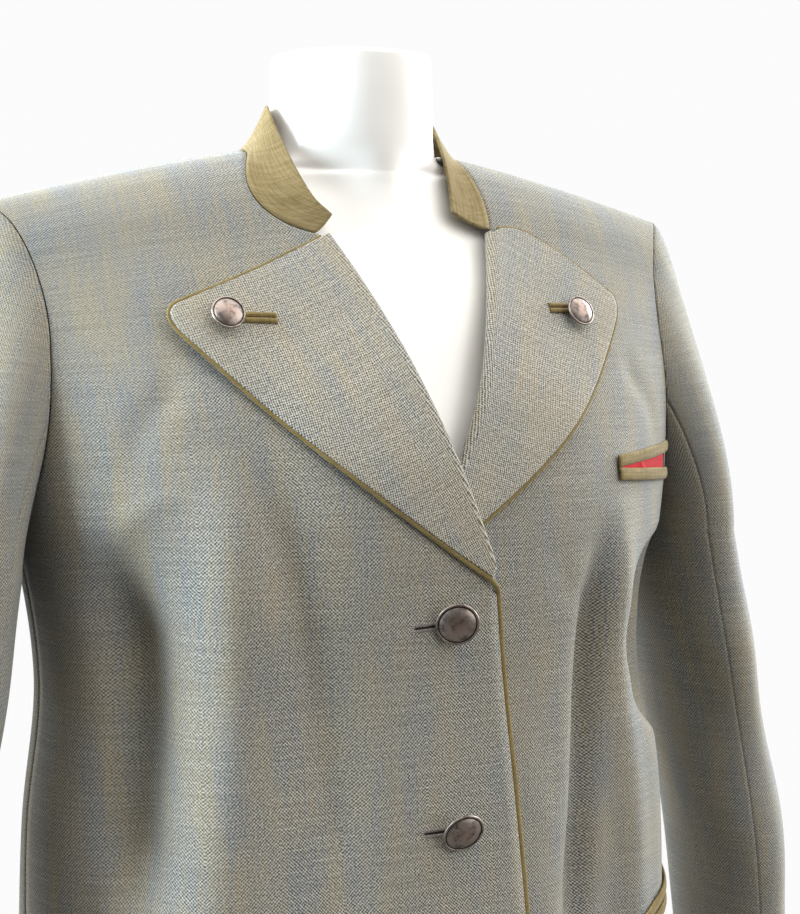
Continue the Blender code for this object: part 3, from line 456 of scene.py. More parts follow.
def crease_rise(name, across, height):
    """How far the soft creases of a panel stand out or in at a place on its flat."""
    rise = np.zeros(np.broadcast(across, height).shape)
    for from_x, from_h, to_x, to_h, half_width, amount in CREASES[name]:
        along_x, along_h = to_x - from_x, to_h - from_h
        length = math.hypot(along_x, along_h)
        share = ((across - from_x) * along_x + (height - from_h) * along_h) / length**2
        bow = CREASE_BOW * length * np.sin(math.pi * np.clip(share, 0.0, 1.0))
        aside = ((across - from_x) * along_h - (height - from_h) * along_x) / length - bow
        fade = ease(share, -0.05, 0.4) * (1.0 - ease(share, 0.6, 1.05))
        rise = rise + amount * fade * np.exp(-(aside / half_width) ** 2)
    return rise


def back(angle, run, out=0.0):
    """Point of the back's outside with its folds; angle from the centre back to the left."""
    height = spline(TORSO_RUN, TORSO, run)[..., 0]
    across = back_across(angle, run)
    move = fold_rise("back", np.degrees(angle), height) + crease_rise("back", across, height) + out
    return torso(math.pi - angle, run) + torso_normal(math.pi - angle, run) * move[..., None]


def back_across(angle, run):
    """Distance from the centre back, measured on the cloth."""
    whole = arc_across(np.full_like(np.asarray(run, float), math.pi), run)
    return (whole - arc_across(math.pi - np.abs(angle), run)) * np.sign(angle)


def back_neck_chart(name, share):
    """Angle and run of the back neck seam on one side, from the nape (0) to the shoulder seam (1)."""
    turn = share * math.pi / 2.0
    x = NECK_HALF[name] * math.sin(turn) ** NAPE_POWER
    depth = NAPE_DEPTH * math.cos(turn)
    ring = TORSO_SAMPLES
    sine = np.clip(x / ring[:, 1], 0.0, 1.0) ** (ring[:, 5] / 2.0)
    reach = ring[:, 3] * np.sqrt(1.0 - sine**2) ** (2.0 / ring[:, 5])
    top = len(reach) // 2
    run = np.interp(-depth, -reach[top:], RUN_SAMPLES[top:])
    here = spline(TORSO_RUN, TORSO, run)
    return math.asin((x / here[1]) ** (here[5] / 2.0)), float(run)


def outer_chart(up, column):
    """Side seam (lower half) and armhole (upper half) of a front (column 1) or back (column 2)."""
    if up <= BREAK_UP:
        low = run_at(HEM)
        run = low + (run_at(UNDERARM) - low) * up / BREAK_UP
        return np.array([math.pi / 2 - HALF_SEAM, run])
    reach = (up - BREAK_UP) / (1.0 - BREAK_UP) * (len(ARMHOLE) - 1)
    row = spline(np.arange(len(ARMHOLE)), ARMHOLE, np.array(reach))
    run = min(float(run_at(row[0])), RUN_END - SEAM / 2)
    return np.array([math.radians(row[column]) - HALF_SEAM, run])


def shoulder_chart(name, share):
    """Shoulder seam of one side from the neck to the armhole."""
    inner = math.asin(NECK_HALF[name] / TORSO[-1, 1])
    outer = math.radians(ARMHOLE[-1, 1]) - HALF_SEAM
    return np.array([inner + (outer - inner) * share, RUN_END - SEAM / 2])


def hem_chart(start, share):
    """Hem from a start angle to the side seam."""
    return np.array([start + (math.pi / 2 - HALF_SEAM - start) * share, run_at(HEM)])


def back_top_chart(name, share):
    """Back neck seam, then the shoulder seam of one side, from the nape to the armhole."""
    if share < BACK_NECK_SHARE:
        angle, run = back_neck_chart(name, share / BACK_NECK_SHARE)
        return np.array([angle, min(run, RUN_END - SEAM / 2)])
    return shoulder_chart(name, (share - BACK_NECK_SHARE) / (1.0 - BACK_NECK_SHARE))


def blend_edges(bottom, top, left, right, ups, across):
    """Blend of four chart edges into a grid of (angle, run) pairs."""
    up = ups[:, None, None]
    aside = across[None, :, None]
    corner = (1 - aside) * (1 - up) * bottom[0] + aside * (1 - up) * bottom[-1]
    corner = corner + (1 - aside) * up * top[0] + aside * up * top[-1]
    ends = (1 - aside) * left[:, None] + aside * right[:, None]
    return (1 - up) * bottom[None] + up * top[None] + ends - corner


def grid_normals(grid, axis):
    """Unit normals of a point grid, turned away from an upright axis given as x and y."""
    normal = unit(np.cross(np.gradient(grid, axis=0), np.gradient(grid, axis=1)))
    away = grid[..., :2] - np.asarray(axis, float)
    return normal if np.sum(normal[..., :2] * away) >= 0.0 else -normal


def shell_between(name, outer, inner, uv, finish):
    """Closed thin shell between two point grids, with a rounded rim."""
    rows, columns = outer.shape[:2]
    under = rows * columns
    faces = []
    for i in range(rows - 1):
        for j in range(columns - 1):
            a, b = i * columns + j, (i + 1) * columns + j
            faces.append((a, a + 1, b + 1, b))
            faces.append((under + a, under + b, under + b + 1, under + a + 1))
    rim = [(0, j) for j in range(columns)]
    rim += [(i, columns - 1) for i in range(1, rows)]
    rim += [(rows - 1, j) for j in range(columns - 2, -1, -1)]
    rim += [(i, 0) for i in range(rows - 2, 0, -1)]
    i, j = np.array(rim).T
    between = (outer + inner) / 2
    outward = unit(between[i, j] - between[np.clip(i, 1, rows - 2), np.clip(j, 1, columns - 2)])
    wall = np.linalg.norm(outer[i, j] - inner[i, j], axis=-1, keepdims=True)
    bulged = between[i, j] + outward * wall * RIM_BULGE
    points = np.concatenate((outer.reshape(-1, 3), inner.reshape(-1, 3), bulged))
    flat = np.concatenate((uv.reshape(-1, 2), uv.reshape(-1, 2), uv[i, j]))
    for k, (a, b) in enumerate(zip(rim, rim[1:] + rim[:1])):
        a, b = a[0] * columns + a[1], b[0] * columns + b[1]
        c, d = 2 * under + k, 2 * under + (k + 1) % len(rim)
        faces.append((a, b, d, c))
        faces.append((c, d, under + b, under + a))
    return make_piece(name, points, faces, finish, flat)


def cloth_shell(name, grid, outside, inside, uv, finish, axis=(0.0, 0.0), spare=0, square=None):
    """Closed thin shell on a point grid, between two distances along its normals.

    Spare columns at each side only steer the normals, so that pieces meet squarely at a seam.
    A squared row keeps its rim upright in the plane of a seam: (row, axis, reach from the centre).
    """
    normal = grid_normals(grid, axis)
    if spare:
        grid = grid[:, spare:-spare]
        normal = normal[:, spare:-spare]
        uv = uv[:, spare:-spare]
    if square:
        row, part, reach = square
        on_seam = (np.abs(grid[row, :, 1]) < reach) & (np.abs(normal[row, :, part]) < 0.8)
        normal[row, on_seam, part] = 0.0
        normal = unit(normal)
    return shell_between(name, grid + normal * outside, grid + normal * inside, uv, finish)


def cloth_area(grid):
    """Area of a point grid in square metres."""
    across = np.diff(grid, axis=1)[:-1]
    along = np.diff(grid, axis=0)[:, :-1]
    return float(np.linalg.norm(np.cross(across, along), axis=-1).sum()) * MM * MM


def group_tree(name, inputs, outputs, kind="ShaderNodeTree"):
    """Node group with named sockets; returns it with its input and output nodes."""
    made = bpy.data.node_groups.new(name, kind)
    for way, sockets in (("INPUT", inputs), ("OUTPUT", outputs)):
        for label, socket in sockets:
            made.interface.new_socket(label, in_out=way, socket_type=socket)
    return made, made.nodes.new("NodeGroupInput"), made.nodes.new("NodeGroupOutput")


def calc(tree, operation, *values):
    """Output of one step of arithmetic."""
    return put(tree, "ShaderNodeMath", dict(enumerate(values)), operation=operation).outputs[0]


def spread(tree, value, low, high, least=0.0, most=1.0, **fields):
    """Output of a value spread from one range over another."""
    inputs = {"Value": value, "From Min": low, "From Max": high, "To Min": least, "To Max": most}
    return put(tree, "ShaderNodeMapRange", inputs, **fields).outputs["Result"]


def vector(tree, operation, first, second):
    """Output of a step on two vectors, or on a vector and a number to scale it by."""
    inputs = {0: first, "Scale" if operation == "SCALE" else 1: second}
    return put(tree, "ShaderNodeVectorMath", inputs, operation=operation).outputs[0]


# Yarns of a woven cloth: ribs that turn back at uneven herringbone columns, and the yarns across them
yarns, entry, leave = group_tree(
    "woven yarns",
    (("Cloth", "NodeSocketVector"), ("Rib", "NodeSocketVector"), ("Cross", "NodeSocketVector"),
     ("Column", "NodeSocketFloat"), ("Waver", "NodeSocketFloat"), ("Grain", "NodeSocketFloat")),
    (("Yarn", "NodeSocketFloat"),),
)
mm = vector(yarns, "SCALE", entry.outputs["Cloth"], 1.0 / MM)
wander = put(yarns, "ShaderNodeTexNoise", {"Vector": mm, "Scale": 0.09, "Detail": 2.0}, noise_dimensions="2D")
centred = vector(yarns, "SUBTRACT", wander.outputs["Color"], (0.5, 0.5, 0.5))
moved = vector(yarns, "ADD", mm, vector(yarns, "SCALE", centred, entry.outputs["Waver"]))
parts = put(yarns, "ShaderNodeSeparateXYZ", {0: moved}).outputs
drift = put(yarns, "ShaderNodeTexNoise", {"W": parts["X"], "Scale": 0.05, "Detail": 1.0},
            noise_dimensions="1D")
uneven = calc(yarns, "MULTIPLY_ADD", drift.outputs["Fac"], 40.0, parts["X"])
column = calc(yarns, "DIVIDE", uneven, entry.outputs["Column"])
way = calc(yarns, "SIGN", calc(yarns, "SINE", calc(yarns, "MULTIPLY", column, math.pi)))
turned = calc(yarns, "MULTIPLY", parts["X"], way)
lain = put(yarns, "ShaderNodeCombineXYZ", {"X": turned, "Y": parts["Y"]}).outputs[0]
fibre = noise(yarns, mm, 0.8, 2.0, noise_dimensions="2D")
level = calc(yarns, "MULTIPLY", calc(yarns, "SUBTRACT", fibre, 0.5), entry.outputs["Grain"])
for label, share in (("Rib", 0.58), ("Cross", 0.42)):
    phase = put(yarns, "ShaderNodeVectorMath", {0: lain, 1: entry.outputs[label]}, operation="DOT_PRODUCT")
    wave = calc(yarns, "SINE", calc(yarns, "MULTIPLY", phase.outputs["Value"], 2 * math.pi))
    level = calc(yarns, "MULTIPLY_ADD", calc(yarns, "MULTIPLY_ADD", wave, 0.5, 0.5), share, level)
yarns.links.new(level, leave.inputs["Yarn"])

# Slubs: long uneven streaks of shade along the warp, fainter ones along the weft, and broad cloudy patches
slubs, entry, leave = group_tree(
    "slub streaks",
    (("Cloth", "NodeSocketVector"), ("Length", "NodeSocketFloat")),
    (("Warp", "NodeSocketFloat"), ("Weft", "NodeSocketFloat"), ("Patch", "NodeSocketFloat")),
)
mm = vector(slubs, "SCALE", entry.outputs["Cloth"], 1.0 / MM)
shrink = calc(slubs, "DIVIDE", 1.0, entry.outputs["Length"])
long_warp = put(slubs, "ShaderNodeCombineXYZ", {"X": 0.42, "Y": shrink}).outputs[0]
long_weft = put(slubs, "ShaderNodeCombineXYZ", {"X": shrink, "Y": 0.7}).outputs[0]
for label, scale, detail, roughness, low, high in (
    ("Warp", long_warp, 3.0, 0.6, 0.3, 0.7),
    ("Weft", long_weft, 2.0, 0.6, 0.34, 0.66),
    ("Patch", (0.055, 0.012, 0.0), 3.0, 0.5, 0.32, 0.68),
):
    place = vector(slubs, "MULTIPLY", mm, scale)
    streak = noise(slubs, place, 1.0, detail, roughness, noise_dimensions="2D")
    slubs.links.new(spread(slubs, streak, low, high), leave.inputs[label])


def woven(tree, rib, cross, column, waver, grain, streak):
    """Yarn level of a woven cloth and the outputs of its slubs, laid on the piece's flat."""
    cloth = put(tree, "ShaderNodeUVMap", uv_map="cloth").outputs["UV"]
    lay = {"Cloth": cloth, "Rib": rib, "Cross": cross, "Column": column, "Waver": waver, "Grain": grain}
    slub = put(tree, "ShaderNodeGroup", {"Cloth": cloth, "Length": streak}, node_tree=slubs)
    return put(tree, "ShaderNodeGroup", lay, node_tree=yarns).outputs["Yarn"], slub.outputs


def twill_finish(name, shades, rib, cross, column):
    """Slubby twill in shades of grey-blue and beige; its ribs lie as two directions say, in turns per mm."""
    made, tree, shader = finish_named(name, roughness=0.86, sheen_weight=0.2, sheen_roughness=0.42)
    shader.inputs["Sheen Tint"].default_value = (0.8, 0.88, 1.0, 1.0)
    shader.inputs["Specular IOR Level"].default_value = 0.2
    yarn, slub = woven(tree, rib, cross, column, 1.2, 1.1, 60.0)
    tone = spread(tree, calc(tree, "ADD", slub["Warp"], slub["Patch"]), 0.3, 1.65)
    warp = mixed(tree, tone, linear(shades["blue"]), linear(shades["beige"]))
    weft = mixed(tree, calc(tree, "MULTIPLY", slub["Weft"], 0.35), linear(shades["light"]), warp)
    spot = put(tree, "ShaderNodeSeparateXYZ", {0: object_place(tree)}).outputs
    aside = calc(tree, "ABSOLUTE", spot["X"])
    level = calc(tree, "SUBTRACT", yarn, 0.5)
    for reach, (start, end) in ((spot["Z"], SMOOTH_SHOULDER), (aside, SMOOTH_SIDE)):
        level = calc(tree, "MULTIPLY", level, spread(tree, reach, start, end, 1.0, SMOOTH_LEFT))
    level = calc(tree, "ADD", level, 0.5)
    colour = mixed(tree, spread(tree, level, 0.3, 0.85), warp, weft)
    colour = mixed(tree, spread(tree, level, 0.5, 0.05, 0.0, 0.75), colour, linear(shades["gap"]))
    dress(tree, shader, colour, bumped(tree, yarn, 0.0004, 0.5))
    return made


diagonal = 1.0 / math.sqrt(2.0)
rib, cross = diagonal / RIB_PITCH, diagonal / CROSS_PITCH
twill = twill_finish("herringbone twill", RIGHT_SIDE, (rib, rib, 0.0), (cross, -cross, 0.0), HERRINGBONE)

across = np.linspace(0.0, 1.0, BACK_COLUMNS + 1)
low, high = run_at(HEM), back_neck_chart("left", 0.0)[1]
halves = {}
for side in SIDES:
    halves[side] = blend_edges(
        np.array([hem_chart(0.0, u) for u in across]),
        np.array([back_top_chart(side, u) for u in across]),
        np.array([(0.0, low + (high - low) * up) for up in PANEL_ROWS]),
        np.array([outer_chart(up, 2) for up in PANEL_ROWS]),
        PANEL_ROWS, across,
    )
chart = np.concatenate((halves["right"][:, :0:-1] * (-1.0, 1.0), halves["left"]), axis=1)
grid = back(chart[..., 0], chart[..., 1])
flat = np.stack((back_across(chart[..., 0], chart[..., 1]), chart[..., 1]), axis=-1)
back_piece = cloth_shell("back_panel", grid, 0.0, -WALL, flat, twill, square=SHOULDER_SEAM)
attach(back_piece, "root")
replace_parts(back_piece, "back")


# Fronts
# Two panels of the same twill, warp upright. The right one closes over the left and both are folded back to
# lapels above the break; they hang from the shoulders with one deep fold over each hip.
BREAK = 502.0
OVERLAP = 27.0
EDGE_SWING = 48.0
EDGE_RETURN = 10.0
LAPEL_TOP = {"right": (52.0, 700.2), "left": (70.5, 704.0)}
NECK_BENDS = {"right": ((78.0, 704.0), (106.0, 724.0)), "left": ((74.5, 714.0), (71.5, 735.0))}
LATE_POWER = 2.2
LAYER_FADE = (115.0, 30.0)
FOLD_FADE = (44.0, 80.0)
FRONT_COLUMNS = 60

# Bow of the lapel's fold: even along its length, and late, towards the collar
ROLL_BOW = {"right": (2.0, -3.6), "left": (10.5, 0.0)}

# How far the right front stands out, and the left front in, where they overlap: height, offset
LAYER = np.array([
    (55.0, 1.6),
    (250.0, 1.6),
    (400.0, 1.6),
    (440.0, 1.6),
    (480.0, 2.0),
    (502.0, 2.7),
    (540.0, 3.6),
    (568.0, 4.2),
    (610.0, 2.6),
    (660.0, 0.8),
    (702.0, 0.0),
    (762.0, 0.0),
])


def front(name, angle, run, out=0.0):
    """Point of a front's outside with its overlap layer, folds and creases, moved out by a distance."""
    height = spline(TORSO_RUN, TORSO, run)[..., 0]
    point = torso(angle, run)
    layer = spline(LAYER[:, 0], LAYER[:, 1], height) * ease(point[..., 0], *LAYER_FADE)
    folds = fold_rise(name, np.degrees(angle), height) + crease_rise(name, arc_across(angle, run), height)
    move = layer * -SIDES[name] + folds * ease(point[..., 0], *FOLD_FADE) + out
    point = point + torso_normal(angle, run) * move[..., None]
    point[..., 0] *= SIDES[name]
    return point


def front_chart(x, height):
    """Angle and run of the front's outside at a place out from the centre and a true height."""
    level = TORSO_SAMPLES[:, 0] - TORSO_SAMPLES[:, 6] * slope_share(x)
    run = np.interp(height, level, RUN_SAMPLES)
    ring = spline(TORSO_RUN, TORSO, run)
    share = min(abs(x) / ring[1], 1.0)
    return math.copysign(math.asin(share ** (ring[4] / 2.0)), x), float(run)


def roll_bow(name, share):
    """How far the lapel's fold bows outward from a straight line."""
    even, late = ROLL_BOW[name]
    return even * np.sin(math.pi * share) + late * np.sin(math.pi * share**LATE_POWER)


def roll_line(name, share):
    """Place of the lapel's fold, from the break (0) to the collar's end (1), as x and height."""
    x, height = LAPEL_TOP[name]
    across = -OVERLAP + (x + OVERLAP) * share + roll_bow(name, share)
    return np.array([across, BREAK + (height - BREAK) * share])


def front_edge_x(name, height):
    """How far the front's edge reaches past the centre at a height."""
    share = (BREAK - height) / (BREAK - HEM)
    return -OVERLAP - (EDGE_SWING * share - EDGE_RETURN * share**2 if name == "right" else 0.0)


def bend(start, lead, trail, end, t):
    """Places on a curve from start to end that leaves towards lead and comes in from trail."""
    return start * (1 - t) ** 3 + lead * 3 * t * (1 - t) ** 2 + trail * 3 * t * t * (1 - t) + end * t**3


def front_inner_chart(name, up):
    """Front edge, then the lapel's fold, then the neck seam, from the hem to the shoulder seam."""
    if up <= BREAK_UP:
        height = HEM + (BREAK - HEM) * up / BREAK_UP
        return np.array(front_chart(front_edge_x(name, height), height))
    if up <= NECK_UP:
        return np.array(front_chart(*roll_line(name, (up - BREAK_UP) / (NECK_UP - BREAK_UP))))
    t = (up - NECK_UP) / (1.0 - NECK_UP)
    top = np.array(LAPEL_TOP[name])
    low_bend, high_bend = np.array(NECK_BENDS[name])
    end = np.array([NECK_HALF[name], TORSO[-1, 0] - TORSO[-1, 6] * slope_share(NECK_HALF[name])])
    angle, run = front_chart(*bend(top, low_bend, high_bend, end, t))
    return np.array([angle, min(run, RUN_END - SEAM / 2)])


across = np.linspace(0.0, 1.0, FRONT_COLUMNS + 1)
for side in SIDES:
    start = front_inner_chart(side, 0.0)[0]
    chart = blend_edges(
        np.array([hem_chart(start, u) for u in across]),
        np.array([shoulder_chart(side, u) for u in across]),
        np.array([front_inner_chart(side, up) for up in PANEL_ROWS]),
        np.array([outer_chart(up, 1) for up in PANEL_ROWS]),
        PANEL_ROWS, across,
    )
    grid = front(side, chart[..., 0], chart[..., 1])
    flat = np.stack((arc_across(chart[..., 0], chart[..., 1]) * SIDES[side], chart[..., 1]), axis=-1)
    piece = cloth_shell("front_panel_" + side, grid, 0.0, -WALL, flat, twill, square=SHOULDER_SEAM)
    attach(piece, "root")
    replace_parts(piece, "front_" + side)
    piece["cut_area"] = cloth_area(grid)


# Lapels
# Each front turns back at the break into a wide lapel with a rounded point. The cloth goes round a soft roll
# and lies on the chest; its facing is cut along the roll, so the weave there stands square to the fold.
LAPEL_TIP = {"right": (157.0, 651.5), "left": (162.5, 660.5)}
TOP_BOW = {"right": 0.0, "left": 13.0}
TOP_BOW_POWER = 0.65
TOP_BOW_FROM = 0.88
EDGE_DROP = 4.0
LAPEL_LIFT = 0.8
WAVE_LEAST = -0.7
TIP_LIFT = 5.0
TIP_ROUND = 13.0
TIP_REACH = 75.0
ROUND_FROM = 0.92
LAPEL_HEAD = 0.985
ROLL_CLEAR = 0.5
ROLL_TIGHT = 1.5
ROLL_GAIN = 1.4
ROLL_FADE = 18.0
ROLL_STEPS = 16
LAPEL_STEPS = 44
# Yarn shades of the lapels: the fronts' own twill painted lighter in every yarn, as painted light on the
# upturned lapels
FACING_PAINTED_LIGHTER = {"blue": (107, 111, 114), "beige": (138, 127, 104), "light": (203, 198, 184), "gap": (46, 44, 41)}
LAPEL_ROWS = np.concatenate((np.linspace(0.012, ROUND_FROM, 92), np.linspace(ROUND_FROM, 1.0, 25)[1:]))

# Facing's ribs and cross yarns in turns per mm, and a column so wide that the ribs don't turn back
FACING_RIB = (1.0 / 1.35, 0.12, 0.0)
FACING_CROSS = (-0.1, 1.0 / 1.3, 0.0)
ONE_WAY = 4000.0

# Bow of the lapel's outer edge and the power that moves it towards the tip
LAPEL_BOW = {"right": (8.8, 1.0), "left": (15.0, 1.45)}

# Waves of a lapel's flat: place across from the fold, place along it, half width, rise
LAPEL_WAVES = {
    "right": ((70.0, 95.0, 26.0, 1.4), (40.0, 150.0, 22.0, -0.8), (105.0, 165.0, 18.0, 0.8)),
    "left": ((66.0, 110.0, 24.0, 1.2), (36.0, 70.0, 18.0, 0.9), (100.0, 170.0, 18.0, -0.6)),
}


def lapel_edge(name, share):
    """Place of the lapel's outer edge, from the break (0) to its rounded tip (1)."""
    low = np.array([-OVERLAP, BREAK - EDGE_DROP])
    tip = np.array(LAPEL_TIP[name])
    top = np.array(LAPEL_TOP[name])
    bow, power = LAPEL_BOW[name]
    along = tip - low
    aside = np.array([along[1], -along[0]]) / np.linalg.norm(along) * bow
    if share <= ROUND_FROM:
        return low + along * share + aside * math.sin(math.pi * share**power)
    start = low + along * ROUND_FROM + aside * math.sin(math.pi * ROUND_FROM**power)
    end = tip + (top - tip) / np.linalg.norm(top - tip) * TIP_ROUND
    t = (share - ROUND_FROM) / (1.0 - ROUND_FROM)
    return start * (1 - t) ** 2 + tip * 2 * t * (1 - t) + end * t * t


def fold_share(share):
    """Share along the fold for a row of the lapel: the last rows close up below the collar's end."""
    if share < ROUND_FROM:
        return share
    return ROUND_FROM + (share - ROUND_FROM) * (LAPEL_HEAD - ROUND_FROM) / (1.0 - ROUND_FROM)


def lapel_place(name, share, across):
    """Places on the lapel's flat, across from the fold (0) to the edge (1); the top edge bows up."""
    fold = roll_line(name, fold_share(share))
    along = lapel_edge(name, share) - fold
    above = np.array([-along[1], along[0]]) / np.linalg.norm(along)
    bow = TOP_BOW[name] * ease(share, TOP_BOW_FROM, 1.0) * np.sin(math.pi * across**TOP_BOW_POWER)
    return fold + along * across[:, None] + above * bow[:, None]


def roll_radius(share):
    """Radius of the lapel's roll: tight at the break, soft at the top."""
    return ROLL_TIGHT + ROLL_GAIN * ease(share, 0.0, 0.8)


def from_fold(name, places):
    """Share along the straight line of the fold, distance along it and distance away from the fold."""
    low = np.array([-OVERLAP, BREAK])
    along = np.array(LAPEL_TOP[name]) - low
    length = np.linalg.norm(along)
    along = along / length
    run = (places - low) @ along
    share = np.clip(run / length, 0.0, 1.0)
    return share, run, (places - low) @ np.array([along[1], -along[0]]) - roll_bow(name, share) * along[1]


def lapel_rise(name, places):
    """Height of the lapel's middle above the front's outside."""
    share, run, away = from_fold(name, places)
    flat = CLOTH / 2 + LAPEL_LIFT
    roll = 2.0 * roll_radius(share) - CLOTH / 2
    near_tip = 1.0 - ease(np.linalg.norm(places - np.array(LAPEL_TIP[name]), axis=-1), 0.0, TIP_REACH)
    rise = flat + (roll - flat) * np.exp(-np.maximum(away, 0.0) / ROLL_FADE) + TIP_LIFT * near_tip
    for wave_away, wave_run, half_width, amount in LAPEL_WAVES[name]:
        off = ((away - wave_away) ** 2 + ((run - wave_run) / 2.0) ** 2) / half_width**2
        rise = rise + np.maximum(amount * np.exp(-off), WAVE_LEAST)
    return rise


def on_front(name, places, out):
    """Points on a front's outside at places given as x and height, moved out by distances."""
    places = np.asarray(places, float)
    chart = np.array([front_chart(x, height) for x, height in places.reshape(-1, 2)])
    chart = chart.reshape(places.shape)
    return front(name, chart[..., 0], chart[..., 1], np.asarray(out, float))


# The lapels' twill: its weave is laid square to the fold, and its lighter shades are painted light
lapel_twill_painted_lighter = twill_finish("lapel twill painted lighter", FACING_PAINTED_LIGHTER, FACING_RIB, FACING_CROSS, ONE_WAY)


def lapel_layer(name, out):
    """One face of a lapel: round the roll, then flat to its outer edge; with its flat places."""
    turns = np.linspace(0.0, math.pi, ROLL_STEPS + 1)
    steps = np.arange(1, LAPEL_STEPS + 1) / LAPEL_STEPS
    places = []
    rises = []
    flat = []
    for share in LAPEL_ROWS:
        fold = roll_line(name, fold_share(share))
        toward = unit(lapel_edge(name, share) - fold)
        radius = float(roll_radius(share))
        on_roll = fold - toward * (SEAM + ROLL_CLEAR + (radius + out) * np.sin(turns))[:, None]
        on_flat = lapel_place(name, share, steps)
        places.append(np.concatenate((on_roll, on_flat)))
        round_roll = radius - CLOTH / 2 - (radius + out) * np.cos(turns)
        rises.append(np.concatenate((round_roll, lapel_rise(name, on_flat) + out)))
        _, run, away = from_fold(name, on_flat)
        flat_roll = np.stack((radius * (turns - math.pi), np.full_like(turns, run[0])), axis=-1)
        flat.append(np.concatenate((flat_roll, np.stack((away, run), axis=-1))))
    return on_front(name, np.array(places), np.array(rises)), np.array(flat) * (SIDES[name], 1.0)


for side in SIDES:
    outer, flat = lapel_layer(side, WALL / 2)
    inner, _ = lapel_layer(side, -WALL / 2)
    piece = shell_between("lapel_fold_" + side, outer, inner, flat, lapel_twill_painted_lighter)
    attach(piece, "root")
    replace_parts(piece, "lapel_" + side)


# Collar
# A stand collar of plain-woven khaki cloth, sewn along the neck seam and leaning to the neck.
# It ends square above each lapel and is stiffened, so it stands clear of the form behind.
COLLAR_WALL = 2.0
COLLAR_ROWS = 16
COLLAR_FORE = 26
COLLAR_AFT = 34
COLLAR_LEAN_POWER = 0.7
COLLAR_SET = (0.6, 1.2)
COLLAR_UP = 1.1
KHAKI_LIGHT = (158, 142, 102)
KHAKI_DARK = (120, 102, 64)

# Collar's top edge from its right end (0) over the right shoulder, nape and left shoulder to its left end (4)
# Columns: station, place to the left, forward and up
COLLAR = np.array([
    (0.0, -42.0, 54.0, 712.5),
    (0.25, -52.0, 50.5, 722.0),
    (0.5, -57.5, 41.0, 737.0),
    (0.75, -60.0, 25.0, 756.0),
    (1.0, -59.0, 2.0, 778.5),
    (1.25, -52.0, -15.5, 779.5),
    (1.5, -43.0, -33.8, 776.0),
    (2.0, 0.0, -54.5, 767.0),
    (2.5, 42.0, -35.0, 776.0),
    (2.75, 52.5, -18.0, 778.0),
    (3.0, 58.0, 0.0, 776.5),
    (3.25, 54.5, 20.0, 758.0),
    (3.5, 50.5, 34.0, 742.0),
    (3.75, 46.5, 45.0, 727.0),
    (4.0, 43.5, 52.0, 716.0),
])


def plain_weave_finish(name, light, dark, pitch, streak, sheen):
    """Plain-woven cloth in two shades of one colour, with fine slubs."""
    made, tree, shader = finish_named(name, roughness=0.84, sheen_weight=sheen, sheen_roughness=0.4)
    shader.inputs["Specular IOR Level"].default_value = 0.2
    thread_way, cross_way = (1.0 / pitch, 0.0, 0.0), (0.0, 1.0 / pitch, 0.0)
    yarn, slub = woven(tree, thread_way, cross_way, ONE_WAY, 0.9, 0.8, streak)
    warp, weft = [mixed(tree, slub[label], linear(dark), linear(light)) for label in ("Warp", "Weft")]
    low = spread(tree, yarn, 0.55, 0.05, 0.0, 0.5)
    colour = mixed(tree, low, mixed(tree, 0.5, warp, weft), linear([c * 0.5 for c in dark]))
    dress(tree, shader, colour, bumped(tree, yarn, 0.0002, 0.5))
    return made


def cut_uv(grid):
    """Flat places of a strip's grid: distance across from its middle column and along its rows."""
    across = np.linalg.norm(np.diff(grid, axis=1), axis=-1)
    along = np.linalg.norm(np.diff(grid, axis=0), axis=-1)
    u = np.concatenate((np.zeros((len(grid), 1)), np.cumsum(across, axis=1)), axis=1)
    v = np.concatenate((np.zeros((1, grid.shape[1])), np.cumsum(along, axis=0)))
    middle = grid.shape[1] // 2
    return np.stack((u - u[:, middle:middle + 1], v), axis=-1)


def neck_seam():
    """Neck seam from the right front's collar end round the nape to the left one."""
    ups = np.linspace(NECK_UP + 0.005, 1.0, COLLAR_FORE + 1)
    fore = {}
    aft = {}
    for name in SIDES:
        chart = np.array([front_inner_chart(name, up) for up in ups])
        fore[name] = front(name, chart[:, 0], chart[:, 1])
        nape = np.array([back_neck_chart(name, k / COLLAR_AFT) for k in range(COLLAR_AFT)])
        aft[name] = back(nape[:, 0] * SIDES[name], np.minimum(nape[:, 1], RUN_END - SEAM))
    return np.concatenate((fore["right"], aft["right"][:0:-1], aft["left"], fore["left"][::-1]))


khaki = plain_weave_finish("khaki cloth", KHAKI_LIGHT, KHAKI_DARK, 0.9, 22.0, 0.15)
foot = neck_seam()
fore, aft = np.arange(1, COLLAR_FORE + 1) / COLLAR_FORE, np.arange(1, COLLAR_AFT + 1) / COLLAR_AFT
station = np.concatenate(([0.0], fore, 1.0 + aft, 2.0 + aft, 3.0 + fore))
top = spline(COLLAR[:, 0], COLLAR[:, 1:], station) * (1.0, -1.0, 1.0)
inward = unit(top[:, :2] - foot[:, :2])
foot[:, :2] += inward * (COLLAR_SET[0] + COLLAR_SET[1] * np.minimum(station, 4.0 - station)[:, None] / 2)
foot[:, 2] += COLLAR_UP
t = np.linspace(0.0, 1.0, COLLAR_ROWS + 1)[:, None, None]
grid = foot + (top - foot) * np.concatenate((t**COLLAR_LEAN_POWER, t**COLLAR_LEAN_POWER, t), axis=-1)
collar_piece = cloth_shell("stand_collar", grid, 0.0, -COLLAR_WALL, cut_uv(grid), khaki)
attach(collar_piece, "root")
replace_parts(collar_piece, "collar")


# Sleeves
# Each sleeve is cut in two, a wide top sleeve and a narrow under sleeve, set into the armhole with a small
# ease over the shoulder. With no arm inside they hang straight down and collapse a little from front to back.
SLEEVE_SEAM = 0.31
SLEEVE_TRIM = 0.0009
SLEEVE_AXIS = 272.0
ARMHOLE_SEAM = (0, 0, 999.0)
CREASE_RISE = 2.5
CREASE_LENGTH = 24.0
CAP_ROWS = 34
ARM_ROWS = 84
CAP_CLEAR = 0.5

